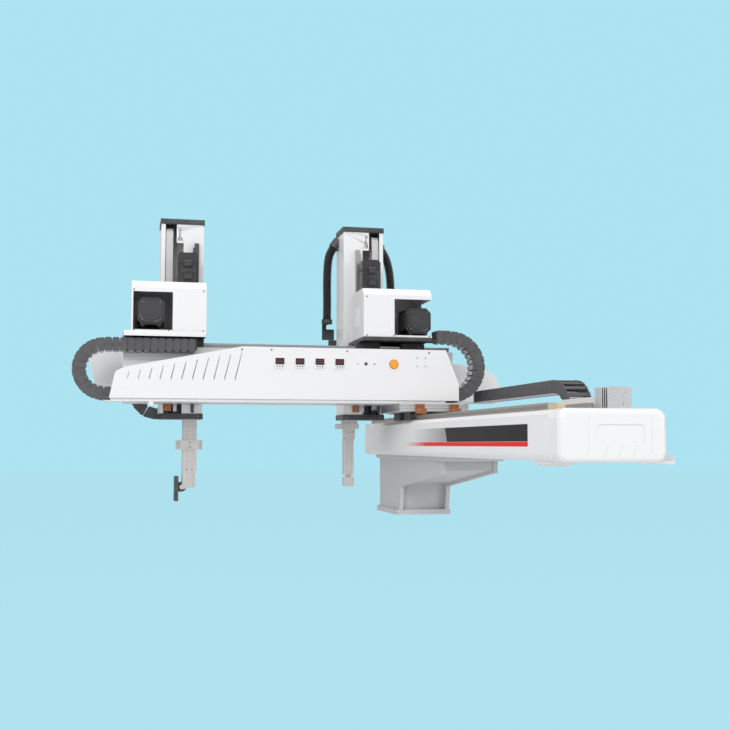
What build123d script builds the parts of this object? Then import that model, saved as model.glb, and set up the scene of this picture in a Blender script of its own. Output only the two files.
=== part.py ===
from build123d import *
import math
import os

# Injection moulding manipulator
# A take-out robot for an injection moulding machine. A cast riser bolts to the machine's
# fixed platen and carries the traverse beam, which runs along Y, away from the mould. The
# crosswise beam rides on it and reaches over the mould along -X. The main arm and the
# sub arm hang behind the crosswise beam, and each drops in two stages.
# Millimetres, +Z up, origin under the middle of the riser's foot.

# Riser casting
riser_height = 214.0
foot_width = 206.0
foot_length = 304.0
foot_thickness = 18.0
foot_corner = 12.0
riser_wall = 14.0
riser_body_inset = 10.0
riser_head_reach = 680.0
riser_head_thickness = 14.0
riser_head_depth = 53.0
riser_knee_height = 101.0
riser_rear_corner = 26.0
web_inset = 20.0
anchor_spacing_x = 120.0
anchor_spacing_y = 180.0
anchor_hole = 14.0

# Traverse beam
beam_width = 206.0
beam_height = 119.0
beam_wall = 9.0
beam_near = -1634.0
beam_far = 236.0
side_cover_width = 24.0
cover_wall = 3.0
side_cover_flat_top = 11.0
side_cover_bottom_curve = 18.0
near_cover_depth = 58.0
near_cover_right = 138.0
near_cover_corner = 24.0
far_cap_depth = 28.0
far_cap_corner = 13.0
nameplate_width = 118.0
nameplate_height = 46.0
nameplate_depth = 2.5
groove_count = 3

# Linear guides, all of one size
rail_width = 20.0
rail_height = 17.5
guide_height = 30.0
guide_width = 44.0
guide_length = 76.0
guide_skirt = 4.0
run_gap = 0.4

# Traverse guides and end stops
traverse_rail_near = -1575.0
traverse_rail_far = 212.0
left_rail_x = -95.0
right_rail_x = 85.0
stop_gap = 0.3

# Racks and pinions, all of one tooth
tooth_module = 3.0
pinion_teeth = 16
pinion_width = 14.0
pinion_bore = 14.0
shaft_gap = 0.05
rack_width = 18.0
rack_height = 20.0
tooth_play = 0.34

# Traverse carriage
carriage_left = -165.0
carriage_right = 112.0
carriage_front = -440.0
carriage_back = -60.0
carriage_thickness = 27.0
carriage_rear_left = -118.0
front_guide_y = -355.0
rear_guide_y = -212.0
traverse_pinion_x = 39.0
traverse_pinion_y = -110.0

# Servo motors
motor_flange = 88.0
motor_length = 118.0
motor_corner = 16.0
small_motor = 66.0
small_motor_length = 120.0
small_motor_corner = 7.0

# Crosswise beam
cross_left = -1072.0
cross_right = 50.0
cross_front = -347.0
cross_depth = 152.0
cross_height = 182.0
cross_wall = 8.0
sheet = 2.5
front_cross_rail = 25.0
rear_cross_rail = 127.0
cross_rack_offset = 64.0
cross_pinion_x = -986.0

# Energy chains
chain_width = 60.0
chain_wall = 4.0
chain_link = 36.0
chain_groove = 2.0
cross_link_height = 43.0
main_bend_radius = 101.0
sub_bend_radius = 124.0
main_bend_x = -1131.0
sub_bend_x = 23.0
main_run_end = -842.0
sub_run_end = -25.0
main_fixed_end = -620.0
sub_fixed_end = -250.0
chain_to_beam = 8.0
traverse_link_height = 38.0
traverse_bend_radius = 112.0
traverse_bend_y = -1048.0
traverse_chain_x = 134.0
traverse_chain_width = 71.0
traverse_run_end = -332.0
traverse_fixed_end = -330.0
arm_link_height = 38.0
arm_chain_radius = 92.0
arm_chain_width = 40.0

# Chain tray beside the traverse beam
tray_right = 210.0
tray_near = -1588.0
tray_far = 120.0
tray_lip = 20.0
guard_top = 377.0
guard_near = -1480.0
guard_far = -1117.0

# Front cover panel of the crosswise beam
panel_thickness = 3.0
panel_top = 572.0
panel_bottom = 400.0
panel_left = -1114.0
panel_right = 45.0
panel_corner = 14.0
vent_count = 11
vent_pitch = 34.2
vent_first = -1060.0
vent_width = 3.0
vent_foot = 462.0
gauge_pitch = 66.7
gauge_count = 4
gauge_first = -570.0
gauge_height = 521.0
gauge_size = 36.0
gauge_body = 30.0
lamp_x = -183.0
lamp_diameter = 32.0

# Arms
arm_gap = 26.0
column_width = 146.0
column_depth = 132.0
column_bottom = 340.0
column_top = 1037.0
column_wall = 5.0
guide_box_width = 70.0
cap_thickness = 18.0
cap_overhang = 3.0
saddle_thickness = 12.0
saddle_lift = 602.0
housing_depth = 228.0
housing_top = 781.0
housing_front_top = 758.0
inner_width = 48.0
inner_depth = 60.0
inner_top = 900.0
belt_width = 24.0
belt_thickness = 3.0
pulley_radius = 22.0
pulley_width = 26.0
vertical_pinion_z = 650.0
vertical_rack_length = 414.0
wrist_top = 154.0
flip_z = 106.0
flip_pin = 5.0
ear_radius = 8.0
ear_width = 9.0
lever_radius = 16.0
tool_spacing_y = 40.0
tool_spacing_z = 50.0
tool_hole = 6.6

# Corrugated conduits beside the sub arm's column, from the column's head to the clamps
conduit_diameter = 33.0
left_conduit = [(-319, -62, 977), (-334, -62, 957), (-341, -61, 905), (-342, -60, 840), (-341, -60, 765),
                (-342, -60, 700)]
right_conduit = [(-138, -62, 977), (-122, -62, 957), (-106, -61, 905), (-100, -60, 845), (-101, -60, 768),
                 (-100, -60, 700)]

os.makedirs("parts", exist_ok=True)

# Levels and places that follow from the sizes above
beam_z = riser_height
beam_top = beam_z + beam_height
rail_top = beam_top + rail_height
carriage_z = beam_top + guide_height
cross_z = carriage_z + carriage_thickness
cross_top = cross_z + cross_height
cross_back = cross_front + cross_depth
saddle_z = cross_top + guide_height
saddle_top = saddle_z + saddle_thickness
tray_floor = beam_z - 3.0
column_front = cross_back + arm_gap
column_back = column_front + column_depth
chain_back = cross_front - chain_to_beam
chain_front = chain_back - chain_width
panel_back = chain_front - 15.0
panel_front = panel_back - panel_thickness
housing_front = chain_front - 8.0
housing_back = housing_front + housing_depth
main_x = -875.0
sub_x = -228.5
pitch_radius = tooth_module * pinion_teeth / 2
tooth_pitch = math.pi * tooth_module
tooth_tip = 0.8 * tooth_module
tooth_root = 1.0 * tooth_module


# Basic shapes
def block(x0, x1, y0, y1, z0, z1):
    """A block between two opposite corners."""
    middle = Pos((x0 + x1) / 2, (y0 + y1) / 2, (z0 + z1) / 2)
    return middle * Box(abs(x1 - x0), abs(y1 - y0), abs(z1 - z0))


def rod_x(radius, x0, x1, y, z):
    return Pos((x0 + x1) / 2, y, z) * Rot(0, 90, 0) * Cylinder(radius, x1 - x0)


def rod_y(radius, y0, y1, x, z):
    return Pos(x, (y0 + y1) / 2, z) * Rot(90, 0, 0) * Cylinder(radius, y1 - y0)


def rod_z(radius, z0, z1, x, y):
    return Pos(x, y, (z0 + z1) / 2) * Cylinder(radius, z1 - z0)


def prism_x(outline, x0, x1):
    """An outline of (y, z) points, extruded along X."""
    wire = Polyline(*[(x0, y, z) for y, z in outline], close=True)
    return extrude(make_face(wire), amount=x1 - x0, dir=(1, 0, 0))


def prism_y(outline, y0, y1):
    """An outline of (x, z) points, extruded along Y."""
    wire = Polyline(*[(x, y0, z) for x, z in outline], close=True)
    return extrude(make_face(wire), amount=y1 - y0, dir=(0, 1, 0))


def prism_z(outline, z0, z1):
    """An outline of (x, y) points, extruded along Z."""
    wire = Polyline(*[(x, y, z0) for x, y in outline], close=True)
    return extrude(make_face(wire), amount=z1 - z0, dir=(0, 0, 1))


def along(part, axis):
    """The edges of a part that run along one axis."""
    return part.edges().filter_by(axis)


def mirror_if(part, hand, x):
    """A part built for the main arm, mirrored about x for the sub arm."""
    if hand > 0:
        return part
    return mirror(part, Plane.YZ.offset(x))


# Guides: rails with side grooves, and the blocks that ride on them
def rail_outline():
    half = rail_width / 2
    waist = half - 3.0
    return [
        (-half, 0), (half, 0), (half, 5.0), (waist, 7.5), (waist, 9.5), (half, 12.0),
        (half, rail_height), (-half, rail_height), (-half, 12.0), (-waist, 9.5),
        (-waist, 7.5), (-half, 5.0),
    ]


def rail(length):
    """A rail along +X from the origin, standing on Z = 0."""
    return prism_x(rail_outline(), 0, length)


def guide_block():
    """A guide block over a rail along X, centred on the origin, with end wipers."""
    half = guide_width / 2
    body = block(-guide_length / 2, guide_length / 2, -half, half, guide_skirt, guide_height)
    body = chamfer(along(body, Axis.X).group_by(Axis.Z)[-1], 2.0)
    slot_half = rail_width / 2 + run_gap
    slot = block(-guide_length, guide_length, -slot_half, slot_half, 0, rail_height + run_gap)
    wiper = block(-guide_length / 2 - 4, guide_length / 2 + 4, -half + 2, half - 2, guide_skirt + 1,
                  guide_height - 3)
    return body + wiper - slot


# Racks and pinions
def rack_outline(length):
    """A toothed bar along X whose tooth tips lie at the rack's full height."""
    pitch_line = rack_height - tooth_tip
    root = pitch_line - tooth_root
    half = tooth_pitch * (0.5 - tooth_play / 4) / 2
    slope = math.tan(math.radians(20))
    points = [(0, 0), (0, root)]
    for tooth in range(int(length / tooth_pitch) - 1):
        middle = (tooth + 1) * tooth_pitch
        points += [
            (middle - half - tooth_root * slope, root), (middle - half + tooth_tip * slope, rack_height),
            (middle + half - tooth_tip * slope, rack_height), (middle + half + tooth_root * slope, root),
        ]
    return points + [(length, root), (length, 0)]


def rack(length):
    """A rack along +X from the origin, with its teeth up and its width along Y."""
    return prism_y(rack_outline(length), 0, rack_width)


def pinion(bore):
    """A pinion round the Z axis with a tooth gap facing +X, centred on the origin."""
    tip = pitch_radius + tooth_tip
    root = pitch_radius - tooth_root
    base_half = tooth_pitch * 0.30
    tip_half = tooth_pitch * 0.11
    gear = Cylinder(root + 0.2, pinion_width)
    tooth = prism_z([(root - 1, -base_half), (tip, -tip_half), (tip, tip_half), (root - 1, base_half)],
                    -pinion_width / 2, pinion_width / 2)
    for step in range(pinion_teeth):
        gear += Rot(0, 0, 360 / pinion_teeth * (step + 0.5)) * tooth
    return gear - Cylinder(bore / 2, 2 * pinion_width)


# Energy chains: a hollow band with a groove at each link joint
def chain_run(length, width, height):
    """A straight run along +X from the origin, centred in Y, standing on Z = 0."""
    run = block(0, length, -width / 2, width / 2, 0, height)
    run -= block(-1, length + 1, -width / 2 + chain_wall, width / 2 - chain_wall, chain_wall,
                 height - chain_wall)
    for link in range(1, int(length / chain_link) + 1):
        at = link * chain_link
        if at > length - chain_groove:
            break
        for side in (-width / 2, width / 2):
            run -= block(at - chain_groove / 2, at + chain_groove / 2, side - 1, side + 1, -1, height + 1)
    return run


def chain_bend(radius, height, width):
    """A half turn towards -X, with its centre at the origin and its axis along Y."""
    ring = Rot(90, 0, 0) * Cylinder(radius, width)
    ring -= Rot(90, 0, 0) * Cylinder(radius - height, width + 2)
    hollow = Rot(90, 0, 0) * Cylinder(radius - chain_wall, width - 2 * chain_wall)
    hollow -= Rot(90, 0, 0) * Cylinder(radius - height + chain_wall, width - 2 * chain_wall)
    keep = block(-radius - 1, 0, -width, width, -radius - 1, radius + 1)
    bend = (ring - hollow) & keep
    links = round(math.pi * (radius - height / 2) / chain_link)
    for link in range(1, links):
        turn = Rot(0, 90 - 180 * link / links, 0)
        for side in (-width / 2, width / 2):
            groove = block(-radius - 1, -radius + height + 1, side - 1, side + 1,
                           -chain_groove / 2, chain_groove / 2)
            bend -= turn * groove
    return bend


# Riser
def side_plate(x0, x1):
    """One gusset of the riser, from the foot to the underside of the head plate."""
    front = -foot_length / 2
    head_z = riser_height - riser_head_thickness
    outline = [
        (foot_length / 2, foot_thickness), (foot_length / 2, head_z), (-riser_head_reach, head_z),
        (-riser_head_reach, head_z - riser_head_depth + 14), (-riser_head_reach + 18,
                                                               head_z - riser_head_depth + 14),
        (front - 20, riser_knee_height), (front - 5, foot_thickness),
    ]
    return prism_x(outline, x0, x1)


def make_riser():
    half = foot_width / 2 - riser_body_inset
    front = -foot_length / 2
    head_z = riser_height - riser_head_thickness
    foot = block(-foot_width / 2, foot_width / 2, front, foot_length / 2 + 8, 0, foot_thickness)
    foot = fillet(along(foot, Axis.Z), foot_corner)
    head = block(-foot_width / 2, foot_width / 2, -riser_head_reach - 40, foot_length / 2 + 16, head_z,
                 riser_height)
    head = chamfer(along(head, Axis.X).group_by(Axis.Z)[0], 6.0)
    head = chamfer(along(head, Axis.Y).group_by(Axis.Z)[0], 6.0)
    body = foot + head
    for x0 in (-half, half - riser_wall):
        body += side_plate(x0, x0 + riser_wall)
    inner = half - riser_wall
    web = [
        (front + web_inset, foot_thickness), (front + web_inset - 12, riser_knee_height + 8),
        (-riser_head_reach + web_inset, head_z - 30), (-riser_head_reach + 6, head_z - 30),
        (-riser_head_reach + 6, head_z), (-riser_head_reach + 18, head_z),
        (-riser_head_reach + 34, head_z - 18), (front + web_inset, riser_knee_height + 18),
        (front + web_inset + 12, foot_thickness),
    ]
    body += prism_x(web, -inner, inner)
    rear = foot_length / 2
    for side in (-1, 1):
        x_outer = side * half
        x_inner = side * (half - 44)
        body += block(min(x_outer, x_inner), max(x_outer, x_inner), rear - riser_wall, rear,
                      foot_thickness, head_z)
    corners = along(body, Axis.Z).filter_by(lambda e: abs(e.center().Y - rear) < 0.01
                                            and abs(abs(e.center().X) - half) < 0.01)
    body = fillet(corners, riser_wall - 1.0)
    for x in (-anchor_spacing_x / 2, anchor_spacing_x / 2):
        for y in (-anchor_spacing_y / 2, anchor_spacing_y / 2):
            body -= rod_z(anchor_hole / 2, -1, foot_thickness + 1, x, y)
    return body


# Traverse beam and its covers
def make_traverse_beam():
    half = beam_width / 2
    beam = block(-half, half, beam_near, beam_far, beam_z, beam_top)
    cell = beam_width / 2 - 1.5 * beam_wall
    for side in (-1, 1):
        x0 = side * beam_wall / 2
        x1 = side * (beam_wall / 2 + cell)
        beam -= block(min(x0, x1), max(x0, x1), beam_near - 1, beam_far + 1, beam_z + beam_wall,
                      beam_top - beam_wall)
    return beam


def side_cover_outline(inset):
    """The side cover's section on the left, drawn smaller by an inset for its inside."""
    root = -beam_width / 2
    face = root - side_cover_width + inset
    low = beam_z + inset
    high = beam_top - inset
    curve = side_cover_bottom_curve
    points = [(root, high), (root, low), (face + curve, low)]
    for step in range(1, 5):
        angle = math.radians(90 * step / 5)
        points.append((face + curve - curve * math.sin(angle), low + curve - curve * math.cos(angle)))
    points += [(face, low + curve), (face, high - side_cover_flat_top), (root - 6, high)]
    return points


def make_side_covers():
    cover = prism_y(side_cover_outline(0), beam_near, beam_far)
    cover -= prism_y(side_cover_outline(cover_wall), beam_near - 1, beam_far + 1)
    return Compound(children=[cover, mirror(cover, Plane.YZ)])


def make_near_cover():
    left = -beam_width / 2 - side_cover_width
    front = beam_near - near_cover_depth
    shell = block(left, near_cover_right, front, beam_near - 0.3, beam_z - 2, beam_top + 2)
    shell = fillet(along(shell, Axis.Y), near_cover_corner)
    shell = fillet(shell.faces().sort_by(Axis.Y)[0].edges(), near_cover_corner * 0.6)
    inner = block(left + cover_wall, near_cover_right - cover_wall, front + cover_wall + nameplate_depth,
                  beam_near + 1, beam_z - 2 + cover_wall, beam_top + 2 - cover_wall)
    inner = fillet(along(inner, Axis.Y), near_cover_corner - cover_wall)
    shell -= inner
    middle = (left + near_cover_right) / 2 + 17
    plate = block(middle - nameplate_width / 2, middle + nameplate_width / 2, front - 1,
                  front + nameplate_depth, 275 - nameplate_height / 2, 275 + nameplate_height / 2)
    shell -= fillet(along(plate, Axis.Y), 11.0)
    for side in (-1, 1):
        edge = middle + side * 77
        crease = prism_y([(edge - 2, 316), (edge + 2, 316), (edge - 2, 232), (edge - 6, 232)],
                         front - 1, front + 1.2)
        shell -= crease
    for step in range(groove_count):
        top_x = middle + (step - 1) * 35.5
        groove = [(top_x - 1.2, 243), (top_x + 1.2, 243), (top_x - 5.8, 224), (top_x - 8.2, 224)]
        shell -= prism_y(groove, front - 1, front + 1.4)
        shell -= rod_y(2.6, front - 1, front + 1.4, top_x + 0.5, 247)
    return shell


def make_far_cap():
    half = beam_width / 2 + side_cover_width
    cap = block(-half, half, beam_far + 0.3, beam_far + far_cap_depth, beam_z, beam_top)
    cap = fillet(along(cap, Axis.Y), far_cap_corner)
    cap = fillet(cap.faces().sort_by(Axis.Y)[-1].edges(), far_cap_corner * 0.8)
    inner = block(-half + cover_wall, half - cover_wall, beam_far - 1, beam_far + far_cap_depth - cover_wall,
                  beam_z + cover_wall, beam_top - cover_wall)
    return cap - fillet(along(inner, Axis.Y), far_cap_corner - cover_wall)


def make_traverse_rails():
    bar = Rot(0, 0, 90) * rail(traverse_rail_far - traverse_rail_near)
    bars = [Pos(x, traverse_rail_near, beam_top) * bar for x in (left_rail_x, right_rail_x)]
    return Compound(children=bars)


def make_traverse_rack():
    length = traverse_rail_far - traverse_rail_near
    bar = Rot(0, 0, 90) * Rot(90, 0, 0) * Pos(0, 0, -rack_height) * rack(length)
    start = traverse_rail_near + phase_shift(traverse_rail_near, traverse_pinion_y)
    return Pos(traverse_pinion_x - pitch_radius + tooth_tip, start, beam_top) * bar


def phase_shift(start, pinion_at):
    """How far a rack moves along itself so that a tooth stands at the pinion's middle."""
    steps = round((pinion_at - start) / tooth_pitch)
    return pinion_at - start - steps * tooth_pitch


def make_rail_stops():
    stops = []
    near = block(left_rail_x - rail_width / 2, left_rail_x + rail_width / 2, beam_near + 2,
                 traverse_rail_near - stop_gap, beam_top, beam_top + rail_height - 1.5)
    stops.append(chamfer(along(near, Axis.X).group_by(Axis.Z)[-1], 4.0))
    for x in (left_rail_x, right_rail_x):
        far = block(x - rail_width / 2, x + rail_width / 2, traverse_rail_far + stop_gap, beam_far - 2,
                    beam_top, beam_top + rail_height - 1.5)
        stops.append(chamfer(along(far, Axis.X).group_by(Axis.Z)[-1], 4.0))
    return Compound(children=stops)


def make_connector_bracket():
    """The finned connector bracket that stands on the near end of the beam."""
    left = 12.0
    width = 78.0
    front = beam_near + 22
    top = beam_top + 55
    plate = block(left + 16, left + width, front, front + 3, beam_top, top)
    foot = block(left, left + width, front, front + 36, beam_top, beam_top + 3)
    bracket = plate + foot
    bracket -= rod_y(3.2, front - 1, front + 4, left + 36, top - 10)
    bracket -= rod_y(2.4, front - 1, front + 4, left + 37, top - 25)
    bracket -= block(left + 55, left + 58, front - 1, front + 4, beam_top + 12, top - 22)
    bracket -= block(left + 61, left + 62.5, front - 1, front + 4, top - 18, top + 1)
    for fin in range(4):
        x = left + fin * 5.0
        bracket += block(x, x + 2.0, front - 2, front + 34, beam_top + 3, top - 2)
    return bracket + block(left, left + 17, front + 28, front + 34, beam_top + 3, top - 2)


def make_chain_tray():
    """The sheet tray that carries the lower run of the traverse chain, with its end guard."""
    x0 = beam_width / 2 + side_cover_width + 0.3
    z0 = tray_floor
    floor = block(x0 - 5, tray_right, tray_near, tray_far, z0, z0 + sheet)
    lip = block(tray_right - sheet, tray_right, tray_near, tray_far, z0 - 5, z0 + tray_lip - 5)
    near = block(x0 - 5, tray_right, tray_near, tray_near + sheet, z0 - 5, z0 + 1)
    wall = block(x0, x0 + sheet, tray_near, tray_far, z0, beam_z + 60)
    guard = block(x0, x0 + sheet, guard_near, guard_far, beam_z + 60, guard_top)
    tray = floor + lip + near + wall + guard
    for slot in range(3):
        y = guard_far - 36 - slot * 22
        tray -= block(x0 - 1, x0 + sheet + 1, y - 14, y, 352, 360)
    return tray


def make_beam_foot():
    x0 = -beam_width / 2 - 6
    foot = block(x0, x0 + 60, -1600, -1492, beam_z - 8, beam_z)
    foot = chamfer(along(foot, Axis.Y).group_by(Axis.Z)[0], 4.0)
    return foot + block(x0 + 8, x0 + 52, -1592, -1500, beam_z - 12, beam_z - 8)


# Traverse carriage
def make_carriage_plate():
    step_y = column_front - 8.0
    outline = [
        (carriage_left, carriage_front), (60, carriage_front), (60, -335), (carriage_right, -335),
        (carriage_right, carriage_back), (carriage_rear_left, carriage_back),
        (carriage_rear_left, step_y), (carriage_left, step_y),
    ]
    plate = prism_z(outline, carriage_z, cross_z)
    for z in (carriage_z + 9, carriage_z + 18):
        plate -= block(carriage_left - 1, 61, carriage_front - 1, carriage_front + 3, z - 1.5, z + 1.5)
    bore = pinion_bore / 2 + 6
    plate -= rod_z(bore, carriage_z - 1, cross_z + 1, traverse_pinion_x, traverse_pinion_y)
    arm_z = upper_traverse_run() - 4.4
    arm = block(60, traverse_chain_x + traverse_chain_width, -330, -296, arm_z, arm_z + 4)
    riser = block(70, carriage_right, -330, -296, cross_z, arm_z)
    bracket = riser + arm
    bracket += block(traverse_chain_x - 2, traverse_chain_x + traverse_chain_width, -331.6, -327, arm_z,
                     arm_z + traverse_link_height)
    return Compound(children=[plate, bracket])


def upper_traverse_run():
    """Underside of the upper run of the traverse chain."""
    return lower_traverse_run() + 2 * traverse_bend_radius - traverse_link_height


def lower_traverse_run():
    return tray_floor + sheet + 0.4


def make_traverse_blocks():
    rider = Rot(0, 0, 90) * guide_block()
    blocks = []
    for x in (left_rail_x, right_rail_x):
        for y in (front_guide_y, rear_guide_y):
            blocks.append(Pos(x, y, beam_top) * rider)
    return Compound(children=blocks)


def make_carriage_bumpers():
    """Two bumper brackets on the front of the carriage, over the rails."""
    pieces = []
    for x in (left_rail_x, right_rail_x - 60):
        tab = block(x - 16, x + 16, carriage_front - 4.3, carriage_front - 0.3, carriage_z - 10, cross_z - 2)
        tab -= rod_y(2.2, carriage_front - 6, carriage_front, x - 8, cross_z - 10)
        tab -= rod_y(2.2, carriage_front - 6, carriage_front, x + 8, cross_z - 10)
        buffer = block(x - 13, x + 13, carriage_front - 40, carriage_front - 4.6, carriage_z - 8,
                       carriage_z + 10)
        pieces += [tab, fillet(along(buffer, Axis.Y), 4.0)]
    return Compound(children=pieces)


def motor_shell(size, corner, length, step):
    """A servo motor's body along +Z from the origin, with cut corners and a stepped end."""
    body = Box(size, size, length, align=(Align.CENTER, Align.CENTER, Align.MIN))
    body = chamfer(along(body, Axis.Z), corner)
    end = Pos(0, 0, length) * Box(size - step, size - step, 7, align=(Align.CENTER, Align.CENTER, Align.MIN))
    end = chamfer(along(end, Axis.Z), corner)
    groove = Box(size + 2, size + 2, 3) - Box(size - 5, size - 5, 3)
    return body + end - Pos(0, 0, 12) * groove - Pos(0, 0, length - 30) * groove


def make_traverse_motor():
    x, y = traverse_pinion_x, traverse_pinion_y
    gear_head = rod_z(30, cross_z, cross_z + 34, x, y) + block(x - 34, x + 34, y - 34, y + 34, cross_z,
                                                                cross_z + 8)
    motor = Pos(x, y, cross_z + 34) * motor_shell(68, 8, 100, 8)
    shaft = rod_z(pinion_bore / 2 - shaft_gap - 1, carriage_z + 0.6, cross_z, x, y)
    return gear_head + motor + shaft


def make_traverse_pinion():
    z = beam_top + 2 + rack_width / 2
    gear = Pos(traverse_pinion_x, traverse_pinion_y, z) * Rot(0, 0, 180) * pinion(pinion_bore)
    hub = rod_z(pinion_bore / 2, z - pinion_width / 2, carriage_z + 0.3, traverse_pinion_x,
                traverse_pinion_y)
    return gear + hub


# Crosswise beam, its rails, rack and covers
def make_cross_beam():
    beam = block(cross_left, cross_right, cross_front, cross_back, cross_z, cross_top)
    cell_depth = (cross_depth - 3 * cross_wall) / 2
    cell_height = (cross_height - 3 * cross_wall) / 2
    for row in range(2):
        for column in range(2):
            y = cross_front + cross_wall + column * (cell_depth + cross_wall)
            z = cross_z + cross_wall + row * (cell_height + cross_wall)
            beam -= block(cross_left - 1, cross_right + 1, y, y + cell_depth, z, z + cell_height)
    for z in (cross_z + 45, cross_z + 137):
        beam -= block(cross_left - 1, cross_right + 1, cross_front - 1, cross_front + 4, z - 4, z + 4)
        beam -= block(cross_left - 1, cross_right + 1, cross_back - 4, cross_back + 1, z - 4, z + 4)
    return beam


def make_cross_rails():
    bar = rail(cross_right - cross_left - 16)
    places = (cross_front + front_cross_rail, cross_front + rear_cross_rail)
    return Compound(children=[Pos(cross_left + 8, y, cross_top) * bar for y in places])


def make_cross_rack():
    length = cross_right - cross_left - 30
    start = cross_left + 15
    start += phase_shift(start, cross_pinion_x)
    return Pos(start, cross_front + cross_rack_offset, cross_top) * rack(length)


def make_front_panel():
    outline = [
        (panel_left, panel_bottom), (-1096, 485), (-1066, 500), (-692, panel_top), (0, panel_top),
        (panel_right, 458), (panel_right, panel_bottom),
    ]
    face = make_face(Polyline(*[(x, panel_front, z) for x, z in outline], close=True))
    face = fillet(face.vertices().sort_by(Axis.X)[1], panel_corner)
    panel = extrude(face, amount=panel_thickness, dir=(0, 1, 0))
    panel += block(-690, 0, panel_back, panel_back + 10, panel_top - sheet, panel_top)
    panel += block(panel_left, panel_right, panel_back, panel_back + 9, panel_bottom,
                   panel_bottom + sheet)
    for slot in range(vent_count):
        panel -= vent(vent_first + slot * vent_pitch)
    for gauge in range(gauge_count):
        x = gauge_first + gauge * gauge_pitch
        half = gauge_body / 2
        panel -= block(x - half, x + half, panel_front - 1, panel_back + 1, gauge_height - half,
                       gauge_height + half)
    panel -= rod_y(lamp_diameter / 2 - 4, panel_front - 1, panel_back + 1, lamp_x, gauge_height)
    panel -= rod_y(6, panel_front - 1, panel_back + 1, -279, gauge_height)
    for x in (-307, -250):
        panel -= rod_y(2.5, panel_front - 1, panel_back + 1, x, gauge_height)
    for x in (-102, -73):
        for z in (544, 516):
            panel -= rod_y(2.2, panel_front - 1, panel_back + 1, x, z)
    return panel


def vent(x):
    """One slanted slot, whose top follows the slope of the panel."""
    slope = (panel_top - 500) / (1066 - 692)
    top = 500 + slope * (x + 1066) - 16
    lean = 0.25 * (top - vent_foot)
    outline = [(x, vent_foot), (x + vent_width, vent_foot), (x + vent_width + lean, top), (x + lean, top)]
    return prism_y(outline, panel_front - 1, panel_back + 1)


def make_rear_panel():
    outline = [
        (-1150, panel_bottom), (-1187, 552), (-1176, 568), (-150, 568), (218, 533), (262, 500),
        (276, 462), (280, panel_bottom),
    ]
    face = make_face(Polyline(*[(x, cross_back, z) for x, z in outline], close=True))
    face = fillet(face.vertices().group_by(Axis.Z)[-1], 9.0)
    panel = extrude(face, amount=sheet, dir=(0, 1, 0))
    return panel


def make_chain_trough():
    """The sheet trough in front of the beam that carries the lower runs of both chains."""
    z0 = cross_z + 0.5
    floor = block(-1128, cross_right + 30, chain_front - 9, cross_front - 0.3, z0, z0 + sheet)
    lip = block(-1110, 0, chain_front - 9, chain_front - 9 + sheet, z0, panel_bottom - 0.3)
    back = block(-1070, cross_right, cross_front - 0.3 - sheet, cross_front - 0.3, z0, z0 + 60)
    trough = floor + lip + back
    trough += block(-990, -975, chain_front - 8, chain_front + 6, z0 - 13, z0)
    return trough


def make_instruments():
    """Four digital pressure gauges and one round indicator, set in the front panel."""
    pieces = []
    for gauge in range(gauge_count):
        x = gauge_first + gauge * gauge_pitch
        bezel = block(x - gauge_size / 2, x + gauge_size / 2, panel_front - 5, panel_front - 0.1,
                      gauge_height - gauge_size / 2, gauge_height + gauge_size / 2)
        bezel = fillet(along(bezel, Axis.Y), 2.0)
        half = gauge_body / 2 - 0.5
        body = block(x - half, x + half, panel_front - 0.1, panel_back + 8, gauge_height - half,
                     gauge_height + half)
        screen = block(x - 12, x + 12, panel_front - 6, panel_front - 4, gauge_height - 4,
                       gauge_height + 14)
        pieces.append(bezel + body - screen)
    lamp = rod_y(lamp_diameter / 2, panel_front - 4, panel_front - 0.1, lamp_x, gauge_height)
    lamp = fillet(lamp.faces().sort_by(Axis.Y)[0].edges(), 1.5)
    pieces.append(lamp + rod_y(lamp_diameter / 2 - 4.5, panel_front - 0.1, panel_back + 5, lamp_x,
                               gauge_height))
    return Compound(children=pieces)


# Crosswise chains
def lower_run():
    return cross_z + 0.5 + sheet + 0.4


def make_chain_pieces(bend_x, radius, run_end, fixed_end, hand):
    """Upper run, bend and lower run of a crosswise chain; hand is the side that it bends to."""
    y = (chain_front + chain_back) / 2
    low = lower_run()
    high = low + 2 * radius - cross_link_height
    upper = chain_run(abs(run_end - bend_x), chain_width, cross_link_height)
    lower = chain_run(abs(fixed_end - bend_x), chain_width, cross_link_height)
    bend = chain_bend(radius, cross_link_height, chain_width)
    pieces = [
        Pos(bend_x, y, high) * upper, Pos(bend_x, y, low + radius) * bend, Pos(bend_x, y, low) * lower,
    ]
    return [mirror_if(piece, hand, bend_x) for piece in pieces]


# Arms. Each is built as the main arm is, with its guide box on the +X side, and the sub
# arm is the mirror image of that. Offsets count towards the guide box.
class Arm:
    def __init__(self, name, x, hand, near, outer, ledge, motor_offset, motor_z, rack_face, inner_offset,
                 rear_reach):
        self.name = name
        self.x = x
        self.hand = hand
        self.near = near
        self.outer = outer
        self.ledge = ledge
        self.motor_offset = motor_offset
        self.motor_z = motor_z
        self.rack_face = rack_face
        self.inner_x = x + inner_offset
        self.rear_reach = rear_reach

    def place(self, shape):
        """The main arm's shape as it is, or its mirror image for the sub arm."""
        return shape if self.hand > 0 else mirror(shape, Plane.YZ.offset(self.x))

    def world(self, x):
        """Where a place in the unmirrored arm ends up."""
        return self.x + self.hand * (x - self.x)


main_motor_offset = cross_pinion_x - main_x
sub_motor_offset = sub_x - cross_pinion_x - 95 * tooth_pitch
main_arm = Arm("main", main_x, 1, 66.0, 174.0, 24.0, main_motor_offset, 683.0, 35.0, 33.0, 22.0)
sub_arm = Arm("sub", sub_x, -1, 56.0, 182.0, 0.0, sub_motor_offset, 673.0, 12.0, 43.0, 96.0)


def cross_pinion_z():
    return cross_top + rack_height - tooth_tip + pitch_radius


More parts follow.
